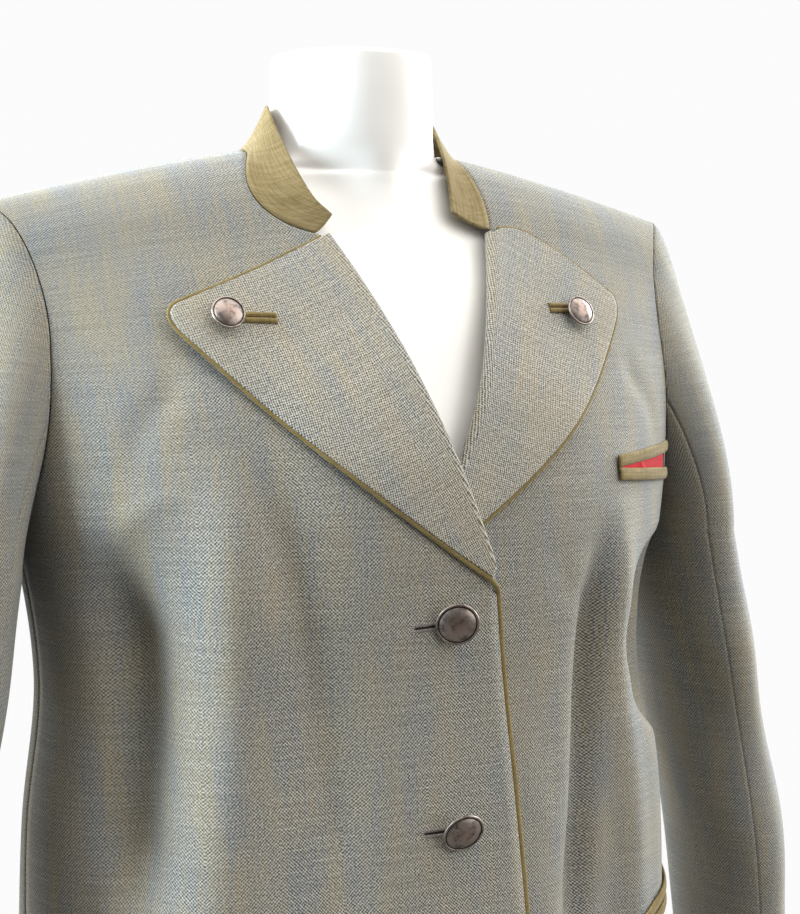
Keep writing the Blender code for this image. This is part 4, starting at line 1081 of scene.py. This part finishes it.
# Way the cap leaves the armhole, and the reach of its curve there and below: mean, more at the shoulder
CAP_OUT = (0.55, 0.45)
CAP_FORWARD = 0.3
CAP_UP = (-0.55, 0.35)
CAP_LEAD = (11.0, 3.0)
CAP_TRAIL = (54.0, 46.0)

# Sleeve rings below the cap: height, centre out, centre forward, half thickness, half depth
SLEEVE = np.array([
    (505.0, 254.0, -5.0, 31.0, 69.0),
    (425.0, 268.0, 5.0, 31.0, 63.0),
    (345.0, 281.0, 17.0, 31.0, 57.0),
    (265.0, 289.0, 26.0, 31.0, 53.0),
    (185.0, 293.0, 34.0, 31.0, 51.0),
    (120.0, 295.0, 39.0, 31.0, 50.0),
])


def armhole_loop(name):
    """Armhole points and their shares of a turn: shoulder, front, underarm, back, shoulder."""
    ups = [float(up) for up in PANEL_ROWS[::-1] if up > BREAK_UP - 0.001]
    fore = np.array([outer_chart(up, 1) for up in ups])
    aft = np.array([outer_chart(up, 2) for up in reversed(ups[:-1])])
    line = np.concatenate((front(name, fore[:, 0], fore[:, 1]), back(aft[:, 0] * SIDES[name], aft[:, 1])))
    length = lengths(line)
    half = length[len(ups) - 1]
    turn = np.where(length <= half, 0.5 * length / half, 0.5 + 0.5 * (length - half) / (length[-1] - half))
    return line, turn


def sleeve_grid(name, first, last, columns):
    """Outside of a sleeve piece between two shares of a turn, with a spare column at each side."""
    line, turns = armhole_loop(name)
    side = SIDES[name]
    grid = np.zeros((CAP_ROWS + ARM_ROWS + 1, columns + 3, 3))
    t = np.linspace(0.0, 1.0, CAP_ROWS + 1)[:, None]
    share = np.arange(1, ARM_ROWS + 1) / ARM_ROWS
    height = SLEEVE[0, 0] + (SLEEVE[-1, 0] - SLEEVE[0, 0]) * share
    ring = spline(SLEEVE[::-1, 0], SLEEVE[::-1, 1:], height)
    out, forward, thick, deep = SLEEVE[0, 1:]
    for j in range(-1, columns + 2):
        turn = first + (last - first) * j / columns
        start = np.array([np.interp(turn % 1.0, turns, line[:, k]) for k in range(3)])
        c, s = math.cos(2 * math.pi * turn), math.sin(2 * math.pi * turn)
        leave = np.array([side * (CAP_OUT[0] + CAP_OUT[1] * c), -CAP_FORWARD * s, CAP_UP[0] + CAP_UP[1] * c])
        leave = unit(leave)
        start = start + leave * CAP_CLEAR + np.array([side * CAP_CLEAR, 0.0, 0.0])
        end = np.array([side * (out + thick * c), -(forward + deep * s), SLEEVE[0, 0]])
        lead = start + leave * (CAP_LEAD[0] + CAP_LEAD[1] * c)
        trail = end + np.array([0.0, 0.0, CAP_TRAIL[0] + CAP_TRAIL[1] * c])
        grid[:CAP_ROWS + 1, j + 1] = bend(start, lead, trail, end, t)
        wave = np.sin(height / CREASE_LENGTH + 2.2 * s) * (0.6 + 0.4 * s)
        crease = ease(share, 0.0, 0.3) * CREASE_RISE * wave
        grid[CAP_ROWS + 1:, j + 1, 0] = side * (ring[:, 0] + (ring[:, 2] + crease) * c)
        grid[CAP_ROWS + 1:, j + 1, 1] = -(ring[:, 1] + (ring[:, 3] + crease) * s)
        grid[CAP_ROWS + 1:, j + 1, 2] = height
    return grid


# Pieces of a sleeve: name, first and last share of a turn, columns, width of the cut
SLEEVE_CUTS = (
    ("top", -SLEEVE_SEAM + SLEEVE_TRIM, SLEEVE_SEAM - SLEEVE_TRIM, 64, 0.27),
    ("under", SLEEVE_SEAM + SLEEVE_TRIM, 1.0 - SLEEVE_SEAM - SLEEVE_TRIM, 36, 0.16),
)
for side in SIDES:
    for cut, first, last, columns, width in SLEEVE_CUTS:
        grid = sleeve_grid(side, first, last, columns)
        flat = cut_uv(grid[::-1])[::-1] * (1.0, -1.0)
        piece = cloth_shell("sleeve_" + cut + "_cut_" + side, grid, 0.0, -WALL, flat, twill,
                            (SIDES[side] * SLEEVE_AXIS, 0.0), 1, ARMHOLE_SEAM)
        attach(piece, "root")
        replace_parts(piece, "sleeve_" + cut + "_" + side)


# Welt pockets
# A breast pocket on the left front and a hip pocket on each front. Two olive lips are folded and sewn
# round a cut; they gape to the outer end. A red cloth with one fold shows in the breast pocket's mouth.
POCKET_LIFT = 1.0
POCKET_SLIT = 1.3
POCKET_STEPS = 40
GAPE_POWER = 0.85
LIP_PUFF = 0.75
LIP_WALL = 1.2
MOUTH_LIFT = 0.15
MOUTH_WALL = 0.12
INSET_CLEAR = 0.45
INSET_WALL = 0.5
INSET_ENDS = (0.02, 0.86)
INSET_LIFT = 0.55
INSET_CROWN = 0.25
INSET_FOLD = 0.7
INSET_FOLD_AT = 0.35
INSET_FOLD_HALF = 0.035
INSET_FOLD_SLANT = 0.05
INSET_STEP = 0.5
INSET_STEP_AT = (0.36, 0.3)
OLIVE_LIGHT = (148, 130, 84)
OLIVE_DARK = (104, 87, 44)
RED_LIGHT = (208, 24, 29)
RED_DARK = (150, 12, 19)
MOUTH_SHADE_LIGHT = (44, 36, 30)
# Near-black sheet in each pocket mouth and each buttonhole slit: painted shade for the shadow inside the
# opening
MOUTH_SHADE_DARK = (26, 21, 18)

# Pockets: name, side, ends as angles from the centre, heights of the mouth there, lip widths, gape
POCKETS = (
    ("breast", "left", 34.3, 61.0, 558.4, 559.5, 6.5, 7.0, 11.0),
    ("hip_left", "left", 26.0, 70.0, 250.0, 296.0, 7.0, 7.0, 3.0),
    ("hip_right", "right", 26.0, 70.0, 250.0, 296.0, 7.0, 7.0, 3.0),
)
POCKET_NODES = {
    "breast": ("breast_welt_upper", "breast_welt_lower"),
    "hip_left": ("hip_welt_upper_left", "hip_welt_lower_left"),
    "hip_right": ("hip_welt_upper_right", "hip_welt_lower_right"),
}


def lip_rise(t, share):
    """A lip's level: puffed up between its two edges."""
    return POCKET_LIFT + LIP_PUFF * np.sin(math.pi * share) ** 0.7 + 0.0 * t


def mouth_rise(t, share):
    """The mouth's level, close on the front."""
    return MOUTH_LIFT + 0.0 * t * share


def inset_rise(t, share):
    """The red cloth's level: one fold stands up near the middle and the cloth drops away behind it."""
    fold = np.exp(-((t - INSET_FOLD_AT + INSET_FOLD_SLANT * share) / INSET_FOLD_HALF) ** 2)
    step = ease(t, *INSET_STEP_AT)
    return INSET_LIFT + INSET_FOLD * fold + INSET_STEP * step + INSET_CROWN * np.sin(math.pi * share)


def pocket_strip(pocket, part, shares, rise, first=0.0, last=1.0):
    """Grid of one pocket strip, inner end to outer end by lower edge to upper edge."""
    _, name, inner, outer, inner_height, outer_height, upper, lower, gape = pocket
    t = np.linspace(first, last, POCKET_STEPS + 1)[:, None]
    height = inner_height + (outer_height - inner_height) * t
    half_open = (POCKET_SLIT + gape * t**GAPE_POWER) / 2
    low, high = {
        "upper": (height + half_open, height + half_open + upper),
        "lower": (height - half_open - lower, height - half_open),
        "between": (height - half_open + INSET_CLEAR, height + half_open - INSET_CLEAR),
    }[part]
    share = np.asarray(shares)[None, :]
    run = run_at(low + (high - low) * share)
    angle = np.radians(inner + (outer - inner) * t) + 0.0 * share
    return front(name, angle, run, rise(t, share))


olive = plain_weave_finish("olive cloth", OLIVE_LIGHT, OLIVE_DARK, 0.8, 24.0, 0.2)
red = plain_weave_finish("red cloth", RED_LIGHT, RED_DARK, 0.6, 40.0, 0.06)
mouth = plain_weave_finish("pocket mouth painted shade", MOUTH_SHADE_LIGHT, MOUTH_SHADE_DARK, 0.8, 30.0, 0.0)
sewn_on = {"left": [], "right": []}
for pocket in POCKETS:
    name, side = pocket[:2]
    for part, node in zip(("upper", "lower"), POCKET_NODES[name]):
        grid = pocket_strip(pocket, part, np.linspace(0.0, 1.0, 9), lip_rise)
        piece = cloth_shell("welt_" + name + "_" + part, grid, LIP_WALL, 0.0, cut_uv(grid), olive)
        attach(piece, "root")
        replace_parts(piece, node)
        sewn_on[side].append(piece)
    # Painted shade: a near-black sheet lies in the gap between the lips
    grid = pocket_strip(pocket, "between", np.linspace(-0.3, 1.3, 5), mouth_rise)
    piece = cloth_shell("pocket_mouth_" + name, grid, MOUTH_WALL, 0.0, cut_uv(grid), mouth)
    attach(piece, "root")
    sewn_on[side].append(piece)
grid = pocket_strip(POCKETS[0], "between", np.linspace(0.0, 1.0, 13), inset_rise, *INSET_ENDS)
inset_piece = cloth_shell("breast_red_cloth", grid, INSET_WALL, 0.0, cut_uv(grid), red)
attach(inset_piece, "root")
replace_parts(inset_piece, "breast_inset")
sewn_on["left"].append(inset_piece)


# Lapel buttonholes
# A bound buttonhole on each lapel: two soft olive lips, each a folded strip, meet along the slit.
# They run from the button towards the roll and sink into the cloth at that end.
BINDING_FROM = {"right": (91.5, 649.5), "left": (98.5, 655.5)}
BINDING_TO = {"right": (118.0, 649.5), "left": (114.3, 654.8)}
BINDING_WALL = 0.8
BINDING_LIFT = 0.35
BINDING_DIP = 0.5
BINDING_DIP_RUN = 0.03
BINDING_STEPS = 24

# Section of the two lips: place across the slit, puff
BINDING_LIPS = np.array([
    (-2.9, -0.25), (-2.6, 0.3), (-2.0, 0.75), (-1.3, 0.85), (-0.6, 0.5), (-0.15, -0.3),
    (0.15, -0.3), (0.6, 0.5), (1.3, 0.85), (2.0, 0.75), (2.6, 0.3), (2.9, -0.25),
])


def on_lapel(name, places, out=0.0):
    """Points on the lapel's middle surface, moved out by a distance."""
    places = np.asarray(places, float)
    return on_front(name, places, lapel_rise(name, places) + out)


lapel_trim = {"left": [], "right": []}
for side in SIDES:
    t = np.linspace(0.0, 1.0, BINDING_STEPS + 1)[:, None]
    start, end = np.array(BINDING_FROM[side]), np.array(BINDING_TO[side])
    places = (start + (end - start) * t)[:, None, :] + BINDING_LIPS[None, :, :1] * np.array((0.0, 1.0))
    rises = CLOTH / 2 + BINDING_LIFT + BINDING_LIPS[None, :, 1] - BINDING_DIP * np.exp(-t / BINDING_DIP_RUN)
    grid = on_lapel(side, places, rises)
    half = BINDING_WALL / 2
    piece = cloth_shell("bound_buttonhole_" + side, grid, half, -half, cut_uv(grid), olive)
    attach(piece, "root")
    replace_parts(piece, "lapel_binding_" + side)
    lapel_trim[side].append(piece)


# Piping
# A flat olive strip, folded and caught in the edge seam. It runs round the free edge of each lapel and, on
# the right, turns at the break and goes on down the edge of the front, which lies on top.
PIPE_GAP = SEAM + 0.1
PIPE_WIDE = 3.0
PIPE_WALL = 1.2
PIPE_BULGE = 0.4
PIPE_COLUMNS = 5
PIPE_STEPS = 140
PIPE_TOP_STEPS = 40
PIPE_FROM = 0.05
PIPE_UNDER = 0.35
TURN_STEPS = 18
TURN_DROP = 16.0
TURN_HANDLE = 8.0

# Width of the strip that shows round a lapel: share of the way from the break to the collar, width
PIPE_SHOWN = np.array([(0.0, 2.6), (0.12, 1.9), (0.58, 1.6), (0.7, 1.3), (0.8, 0.8), (1.0, 0.7)])


def lapel_piping(name):
    """Places round a lapel's free edge with their outward directions, from near the break to the collar."""
    places = np.array([lapel_edge(name, share) for share in LAPEL_ROWS if share > PIPE_FROM])
    steps = np.arange(1, PIPE_TOP_STEPS) / PIPE_TOP_STEPS
    places = np.concatenate((places, lapel_place(name, 1.0, 1.0 - steps)))
    along = unit(np.diff(places, axis=0))
    along = unit(np.concatenate((along[:1], along[:-1] + along[1:], along[-1:])))
    return places, along, np.stack([along[:, 1], -along[:, 0]], axis=-1)


for side in SIDES:
    places, along, aside = lapel_piping(side)
    share = np.linspace(1.0, 0.0, PIPE_COLUMNS)
    reach = PIPE_GAP + PIPE_WIDE * share
    bulge = PIPE_BULGE * np.sin(math.pi * share)
    wide = np.interp(np.linspace(0.0, 1.0, len(places)), PIPE_SHOWN[:, 0], PIPE_SHOWN[:, 1])
    flat = places[:, None] + aside[:, None] * (PIPE_GAP + wide[:, None] * share)[..., None]
    level = lapel_rise(side, flat) + bulge - PIPE_UNDER
    if side == "right":
        heights = np.linspace(HEM + 1.0, BREAK - TURN_DROP, PIPE_STEPS)
        edge = np.array([front_edge_x(side, height) for height in heights])
        strip = np.stack((edge[:, None] - reach[::-1], heights[:, None] + 0.0 * reach), axis=-1)
        t = (np.arange(1, TURN_STEPS) / TURN_STEPS)[:, None, None]
        lead = strip[-1] + unit(strip[-1] - strip[-2]) * TURN_HANDLE
        turn = bend(strip[-1], lead, flat[0] - along[0] * TURN_HANDLE, flat[0], t)
        rise = ease(t[..., 0], 0.0, 0.45)
        flat = np.concatenate((strip, turn, flat))
        level = np.concatenate((np.tile(bulge - CLOTH / 2, (PIPE_STEPS, 1)),
                                (bulge - CLOTH / 2) * (1 - rise) + level[0] * rise, level))
    grid = on_front(side, flat, level)
    piece = cloth_shell("piping_" + side, grid, PIPE_WALL / 2, -PIPE_WALL / 2, cut_uv(grid), olive)
    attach(piece, "root")
    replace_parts(piece, "lapel_piping_" + side)
    if side == "right":
        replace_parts(piece, "front_piping")
    lapel_trim[side].append(piece)


# Worked buttonholes
# Three straight buttonholes on the right front, cut through and worked round with close thread stitches.
# A short bar of stitches closes the end away from the edge, and the slit is a near-black sheet of painted
# shade.
HOLE_FROM = 2.0
STITCH_PITCH = 0.95
STITCH_LENGTH = 2.3
STITCH_THICK = 0.7
STITCH_LIFT = 0.2
STITCH_SEED = 7
SLIT_HALF = 0.6
SLIT_LIFT = 0.12
SLIT_WALL = 0.12
SLIT_PAST = 0.3
SLIT_TAPER = 3.0
SLIT_STEPS = 40
BAR_HALF = 2.3
BAR_PAST = 0.9
BAR_STITCHES = 5
THREAD_LIGHT = (170, 160, 154)
THREAD_DARK = (112, 104, 102)

# Buttonholes: name, height, end away from the edge, drop of that end
HOLES = (
    ("top", 474.2, 27.5, 1.2),
    ("middle", 352.8, 23.0, -0.4),
    ("low", 234.5, 24.0, 0.6),
)

stitching, entry, leave = group_tree(
    "sewn stitches",
    (("Geometry", "NodeSocketGeometry"), ("Length", "NodeSocketFloat"), ("Thickness", "NodeSocketFloat"),
     ("Seed", "NodeSocketInt"), ("Thread", "NodeSocketMaterial")),
    (("Geometry", "NodeSocketGeometry"),),
    "GeometryNodeTree",
)
along, facing = [
    put(stitching, "GeometryNodeInputNamedAttribute", {"Name": label}, data_type="FLOAT_VECTOR").outputs[0]
    for label in ("along", "facing")
]
stood = put(stitching, "FunctionNodeAlignRotationToVector", {"Vector": facing}, axis="Z").outputs[0]
laid = put(stitching, "FunctionNodeAlignRotationToVector", {"Rotation": stood, "Vector": along},
           axis="X", pivot_axis="Z").outputs[0]
uneven = put(stitching, "FunctionNodeRandomValue", {2: 0.82, 3: 1.12, "Seed": entry.outputs["Seed"]},
             data_type="FLOAT").outputs[1]
long_half = calc(stitching, "MULTIPLY", calc(stitching, "MULTIPLY", entry.outputs["Length"], 0.5), uneven)
thick_half = calc(stitching, "MULTIPLY", entry.outputs["Thickness"], 0.5)
size = put(stitching, "ShaderNodeCombineXYZ", {"X": long_half, "Y": thick_half, "Z": thick_half}).outputs[0]
stitch = put(stitching, "GeometryNodeMeshUVSphere", {"Segments": 8, "Rings": 6, "Radius": 1.0})
row = {"Points": entry.outputs["Geometry"], "Instance": stitch.outputs["Mesh"], "Rotation": laid,
       "Scale": size}
done = put(stitching, "GeometryNodeInstanceOnPoints", row).outputs[0]
for kind in ("GeometryNodeRealizeInstances", "GeometryNodeSetShadeSmooth"):
    done = put(stitching, kind, {0: done}).outputs[0]
done = put(stitching, "GeometryNodeSetMaterial", {0: done, "Material": entry.outputs["Thread"]}).outputs[0]
stitching.links.new(done, leave.inputs[0])

thread, tree, shader = finish_named("buttonhole thread", roughness=0.55, sheen_weight=0.3,
                                    sheen_roughness=0.3)
strands = noise(tree, object_place(tree), 900.0, 2.0)
tree.links.new(mixed(tree, strands, linear(THREAD_DARK), linear(THREAD_LIGHT)), shader.inputs["Base Color"])


def sewn(name, places, along, facing):
    """Row of thread stitches at places in millimetres, each lying along one direction and facing another."""
    mesh = bpy.data.meshes.new(name + "_row")
    mesh.from_pydata((np.asarray(places) * MM).tolist(), [], [])
    for label, vectors in (("along", along), ("facing", facing)):
        store = mesh.attributes.new(label, "FLOAT_VECTOR", "POINT")
        store.data.foreach_set("vector", np.asarray(vectors, np.float32).ravel())
    holder = bpy.data.objects.new(name + "_row", mesh)
    bpy.context.scene.collection.objects.link(holder)
    sewing = holder.modifiers.new("stitches", "NODES")
    sewing.node_group = stitching
    named = {s.name: s.identifier for s in stitching.interface.items_tree if s.in_out == "INPUT"}
    sewing[named["Length"]] = STITCH_LENGTH * MM
    sewing[named["Thickness"]] = STITCH_THICK * MM
    sewing[named["Seed"]] = STITCH_SEED
    sewing[named["Thread"]] = thread
    graph = bpy.context.evaluated_depsgraph_get()
    done = bpy.data.meshes.new_from_object(holder.evaluated_get(graph))
    bpy.data.objects.remove(holder)
    piece = bpy.data.objects.new(name, done)
    bpy.context.scene.collection.objects.link(piece)
    return piece


for label, height, hole_to, drop in HOLES:
    count = int((hole_to - HOLE_FROM) / STITCH_PITCH)
    steps = np.linspace(HOLE_FROM, hole_to, count)
    straight = np.stack((steps, height - drop * steps / hole_to), axis=-1)
    across_bar = np.linspace(-BAR_HALF, BAR_HALF, BAR_STITCHES)
    bar = np.stack((np.full(BAR_STITCHES, hole_to + BAR_PAST), height - drop + across_bar), axis=-1)
    aside = (0.0, SLIT_HALF + STITCH_LENGTH * 0.45)
    flat = np.concatenate((straight + aside, straight - aside, bar))
    run = np.concatenate((np.tile((0.0, 1.0), (2 * count, 1)), np.tile((0.5, 0.0), (BAR_STITCHES, 1))))
    lift = np.full(len(flat), STITCH_LIFT)
    places = on_front("right", flat, lift)
    ahead = on_front("right", flat + run, lift) - places
    angles = np.array([front_chart(x, h) for x, h in flat])
    outward = torso_normal(angles[:, 0], angles[:, 1]) * (SIDES["right"], 1.0, 1.0)
    piece = sewn("buttonhole_stitches_" + label, places, ahead, outward)
    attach(piece, "root")
    sewn_on["right"].append(piece)
    # The slit: a near-black sheet of painted shade lying on the cloth
    steps = np.linspace(HOLE_FROM, hole_to + SLIT_PAST, SLIT_STEPS)
    half = SLIT_HALF * np.sqrt(np.clip((hole_to + 0.4 - steps) / SLIT_TAPER, 0.05, 1.0))
    slit = np.stack((steps, height - drop * steps / hole_to), axis=-1)[:, None, :]
    slit = slit + np.stack((np.zeros((SLIT_STEPS, 3)), half[:, None] * np.array((-1.0, 0.0, 1.0))), axis=-1)
    grid = on_front("right", slit, np.full((SLIT_STEPS, 3), SLIT_LIFT))
    piece = cloth_shell("buttonhole_slit_" + label, grid, SLIT_WALL / 2, -SLIT_WALL / 2, cut_uv(grid), mouth)
    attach(piece, "root")
    sewn_on["right"].append(piece)


# Buttons
# Domed shank buttons stamped from sheet metal with a turned rim: silver plate gone dark in the groove and
# worn to copper on the dome. Three close the front, hanging a little on their shanks; one holds each lapel.
FRONT_BUTTON = 13.0
LAPEL_BUTTON = 10.0
BUTTON_LEAN = 1.3
BUTTON_STAND = 1.6
SEAT_REACH = 4.0
LAPEL_BUTTON_AT = {"right": (121.0, 649.5), "left": (118.5, 651.0)}
BUTTON_SEGMENTS = 72
METAL_SILVER = (158, 146, 138)
METAL_COPPER = (146, 112, 96)
METAL_DARK = (46, 38, 35)
METAL_ROUGH = (0.34, 0.58)
SHANK = ((0.0, 0.4), (2.4, 0.4), (2.4, 3.2))

# Front buttons: name, height, turn of the face to the right and drop of the face, in degrees
FRONT_BUTTONS = (
    ("top", 477.0, 22.0, 15.0),
    ("middle", 356.0, 6.0, 24.0),
    ("low", 237.5, 12.0, 18.0),
)

# Section of a button above its shank: share of the radius, height over the cloth
BUTTON_DOME = (
    (0.62, 3.5), (0.86, 4.0), (0.95, 4.5), (0.99, 5.0), (1.0, 5.45), (0.99, 5.9), (0.965, 6.2),
    (0.93, 6.3), (0.9, 6.18), (0.88, 5.9), (0.865, 5.78), (0.845, 5.85), (0.81, 6.2), (0.74, 6.7),
    (0.64, 7.25), (0.52, 7.75), (0.39, 8.15), (0.26, 8.42), (0.13, 8.56), (0.0, 8.6),
)

metal, tree, shader = finish_named("antique button metal", metallic=1.0)
place = object_place(tree)
ring = put(tree, "ShaderNodeAttribute", attribute_name="ring").outputs["Fac"]
worn = noise(tree, place, 170.0, 5.0, 0.65)
pits = noise(tree, place, 620.0, 3.0)
copper_share = calc(tree, "MULTIPLY", spread(tree, ring, 0.75, 0.1, 0.0, 0.9), worn)
colour = mixed(tree, copper_share, linear(METAL_SILVER), linear(METAL_COPPER))
tarnish = spread(tree, worn, 0.48, 0.66, 0.0, 0.75)
groove = calc(tree, "COMPARE", ring, 0.86, 0.03)
for share in (tarnish, groove):
    colour = mixed(tree, share, colour, linear(METAL_DARK))
dents = bumped(tree, worn, 0.0006, 0.25)
dress(tree, shader, colour, bumped(tree, pits, 0.0002, 0.15, Normal=dents))
tree.links.new(spread(tree, worn, 0.3, 0.7, *METAL_ROUGH), shader.inputs["Roughness"])


def button(name, centre, normal, radius, stand):
    """Domed button turned round its axis, with each point's share of the radius kept for its finish."""
    profile = SHANK + tuple((share * radius, high + stand) for share, high in BUTTON_DOME)
    normal = unit(normal)
    aside = unit(np.cross(normal, np.array([0.0, 0.0, 1.0])))
    above = np.cross(aside, normal)
    points = []
    shares = []
    loops = []
    for wide, high in profile:
        count = 1 if wide == 0.0 else BUTTON_SEGMENTS
        loops.append(list(range(len(points), len(points) + count)))
        for k in range(count):
            turn = 2 * math.pi * k / BUTTON_SEGMENTS
            points.append(centre + normal * high + (aside * math.cos(turn) + above * math.sin(turn)) * wide)
            shares.append(wide / radius)
    faces = []
    for low, high in zip(loops, loops[1:]):
        for k in range(BUTTON_SEGMENTS):
            a, b = k, (k + 1) % BUTTON_SEGMENTS
            if len(low) == 1:
                faces.append((low[0], high[b], high[a]))
            elif len(high) == 1:
                faces.append((low[a], low[b], high[0]))
            else:
                faces.append((low[a], low[b], high[b], high[a]))
    piece = make_piece(name, points, faces, metal)
    ring = piece.data.attributes.new("ring", "FLOAT", "POINT")
    ring.data.foreach_set("value", np.array(shares, np.float32))
    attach(piece, "root")
    return piece


for label, height, turn, tilt in FRONT_BUTTONS:
    angle, run = front_chart(0.0, height)
    seat = front("right", np.array(angle), np.array(run), 0.0 * np.array(run))
    aside, drop = math.radians(turn), math.radians(tilt)
    normal = np.array([-math.sin(aside) * math.cos(drop), -math.cos(aside) * math.cos(drop), -math.sin(drop)])
    piece = button("front_button_" + label, seat + normal * BUTTON_LEAN, normal, FRONT_BUTTON, BUTTON_STAND)
    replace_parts(piece, "button_front_" + label)
for side in SIDES:
    spot = np.array(LAPEL_BUTTON_AT[side])
    seat = on_lapel(side, spot, CLOTH / 2)
    wide = on_lapel(side, spot + (SEAT_REACH, 0.0)) - on_lapel(side, spot - (SEAT_REACH, 0.0))
    high = on_lapel(side, spot + (0.0, SEAT_REACH)) - on_lapel(side, spot - (0.0, SEAT_REACH))
    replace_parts(button("lapel_button_" + side, seat, np.cross(wide, high) * SIDES[side], LAPEL_BUTTON, 0.0),
                "button_lapel_" + side)


# Studio
# A grey round floor under the form, in a bright room: white light comes from behind, from both sides and from
# above, and a weak warm light from the camera's side. The camera stands at the photograph's place.
FLOOR_RADIUS = 800.0
FLOOR_SIDES = 96
FLOOR_LEVELS = (-0.2, -4.0)
FLOOR_GREY = (84, 82, 80)
FLOOR_PALE = (92, 90, 88)
CAMERA_AT = (-0.5482, -1.0114, 0.655)
CAMERA_DOWN = 4.61
CAMERA_TURN = -30.0
CAMERA_LENS = 71.33
SURROUND_SHOWN = 0.97
ROOM_FRONT = (0.09, 0.075, 0.06, 1.0)
ROOM_BACK = (2.85, 2.85, 2.82, 1.0)
ROOM_LOW = (0.06, 0.05, 0.04, 1.0)
LIGHT_SIZE = 1.0
LIGHT_AIM = (0.0, -0.05, 0.5)

# Where the room's light goes from dim to bright along the camera's view, and from bright to dark going down
ROOM_TURN = (-0.88, -0.36)
ROOM_SINK = (0.05, -0.4)

# Lights: name, place, power, colour
LIGHTS = (
    ("right side", (-2.0, 0.2, 1.0), 90.0, (0.76, 0.9, 1.0)),
    ("left side", (1.9, 0.35, 1.0), 50.0, (0.86, 0.95, 1.0)),
)
floor_finish, tree, shader = finish_named("grey floor", roughness=0.7)
dust = noise(tree, object_place(tree), 6.0, 4.0)
tree.links.new(mixed(tree, dust, linear(FLOOR_GREY), linear(FLOOR_PALE)), shader.inputs["Base Color"])
turns = [2 * math.pi * k / FLOOR_SIDES for k in range(FLOOR_SIDES)]
rim = [(math.cos(turn) * FLOOR_RADIUS, math.sin(turn) * FLOOR_RADIUS) for turn in turns]
points = [(x, y, level) for level in FLOOR_LEVELS for x, y in rim]
faces = [tuple(range(FLOOR_SIDES)), tuple(range(2 * FLOOR_SIDES - 1, FLOOR_SIDES - 1, -1))]
for k in range(FLOOR_SIDES):
    after = (k + 1) % FLOOR_SIDES
    faces.append((k, after, FLOOR_SIDES + after, FLOOR_SIDES + k))
floor = make_piece("floor", points, faces, floor_finish)
floor.data.polygons.foreach_set("use_smooth", np.zeros(len(floor.data.polygons), bool))

for name, at, power, colour in LIGHTS:
    light = bpy.data.lights.new(name, "AREA")
    light.size = LIGHT_SIZE
    light.energy = power
    light.color = colour
    lamp = bpy.data.objects.new(name, light)
    lamp.location = at
    lamp.rotation_euler = (Vector(LIGHT_AIM) - Vector(at)).to_track_quat("-Z", "Y").to_euler()
    bpy.context.scene.collection.objects.link(lamp)

surround = bpy.data.worlds.new("surround")
surround.use_nodes = True
tree = surround.node_tree
toward = put(tree, "ShaderNodeTexCoord").outputs["Generated"]
ahead = math.radians(-CAMERA_TURN)
forward = (math.sin(ahead), math.cos(ahead), 0.0)
past = put(tree, "ShaderNodeVectorMath", {0: toward, 1: forward}, operation="DOT_PRODUCT").outputs["Value"]
aloft = put(tree, "ShaderNodeSeparateXYZ", {0: toward}).outputs["Z"]
beyond = spread(tree, past, *ROOM_TURN, interpolation_type="SMOOTHSTEP")
below = spread(tree, aloft, *ROOM_SINK, interpolation_type="SMOOTHSTEP")
room = mixed(tree, below, mixed(tree, beyond, ROOM_FRONT, ROOM_BACK), ROOM_LOW)
seen = put(tree, "ShaderNodeLightPath").outputs["Is Camera Ray"]
shown = (SURROUND_SHOWN, SURROUND_SHOWN, SURROUND_SHOWN, 1.0)
tree.links.new(mixed(tree, seen, room, shown), tree.nodes["Background"].inputs["Color"])
bpy.context.scene.world = surround
bpy.context.scene.view_settings.view_transform = "Standard"

camera = bpy.data.cameras.new("camera")
camera.lens = CAMERA_LENS
camera.sensor_width = 36.0
camera.clip_start = 0.05
eye = bpy.data.objects.new("camera", camera)
eye.location = CAMERA_AT
eye.rotation_euler = (math.radians(90.0 - CAMERA_DOWN), 0.0, math.radians(CAMERA_TURN))
bpy.context.scene.collection.objects.link(eye)
bpy.context.scene.camera = eye
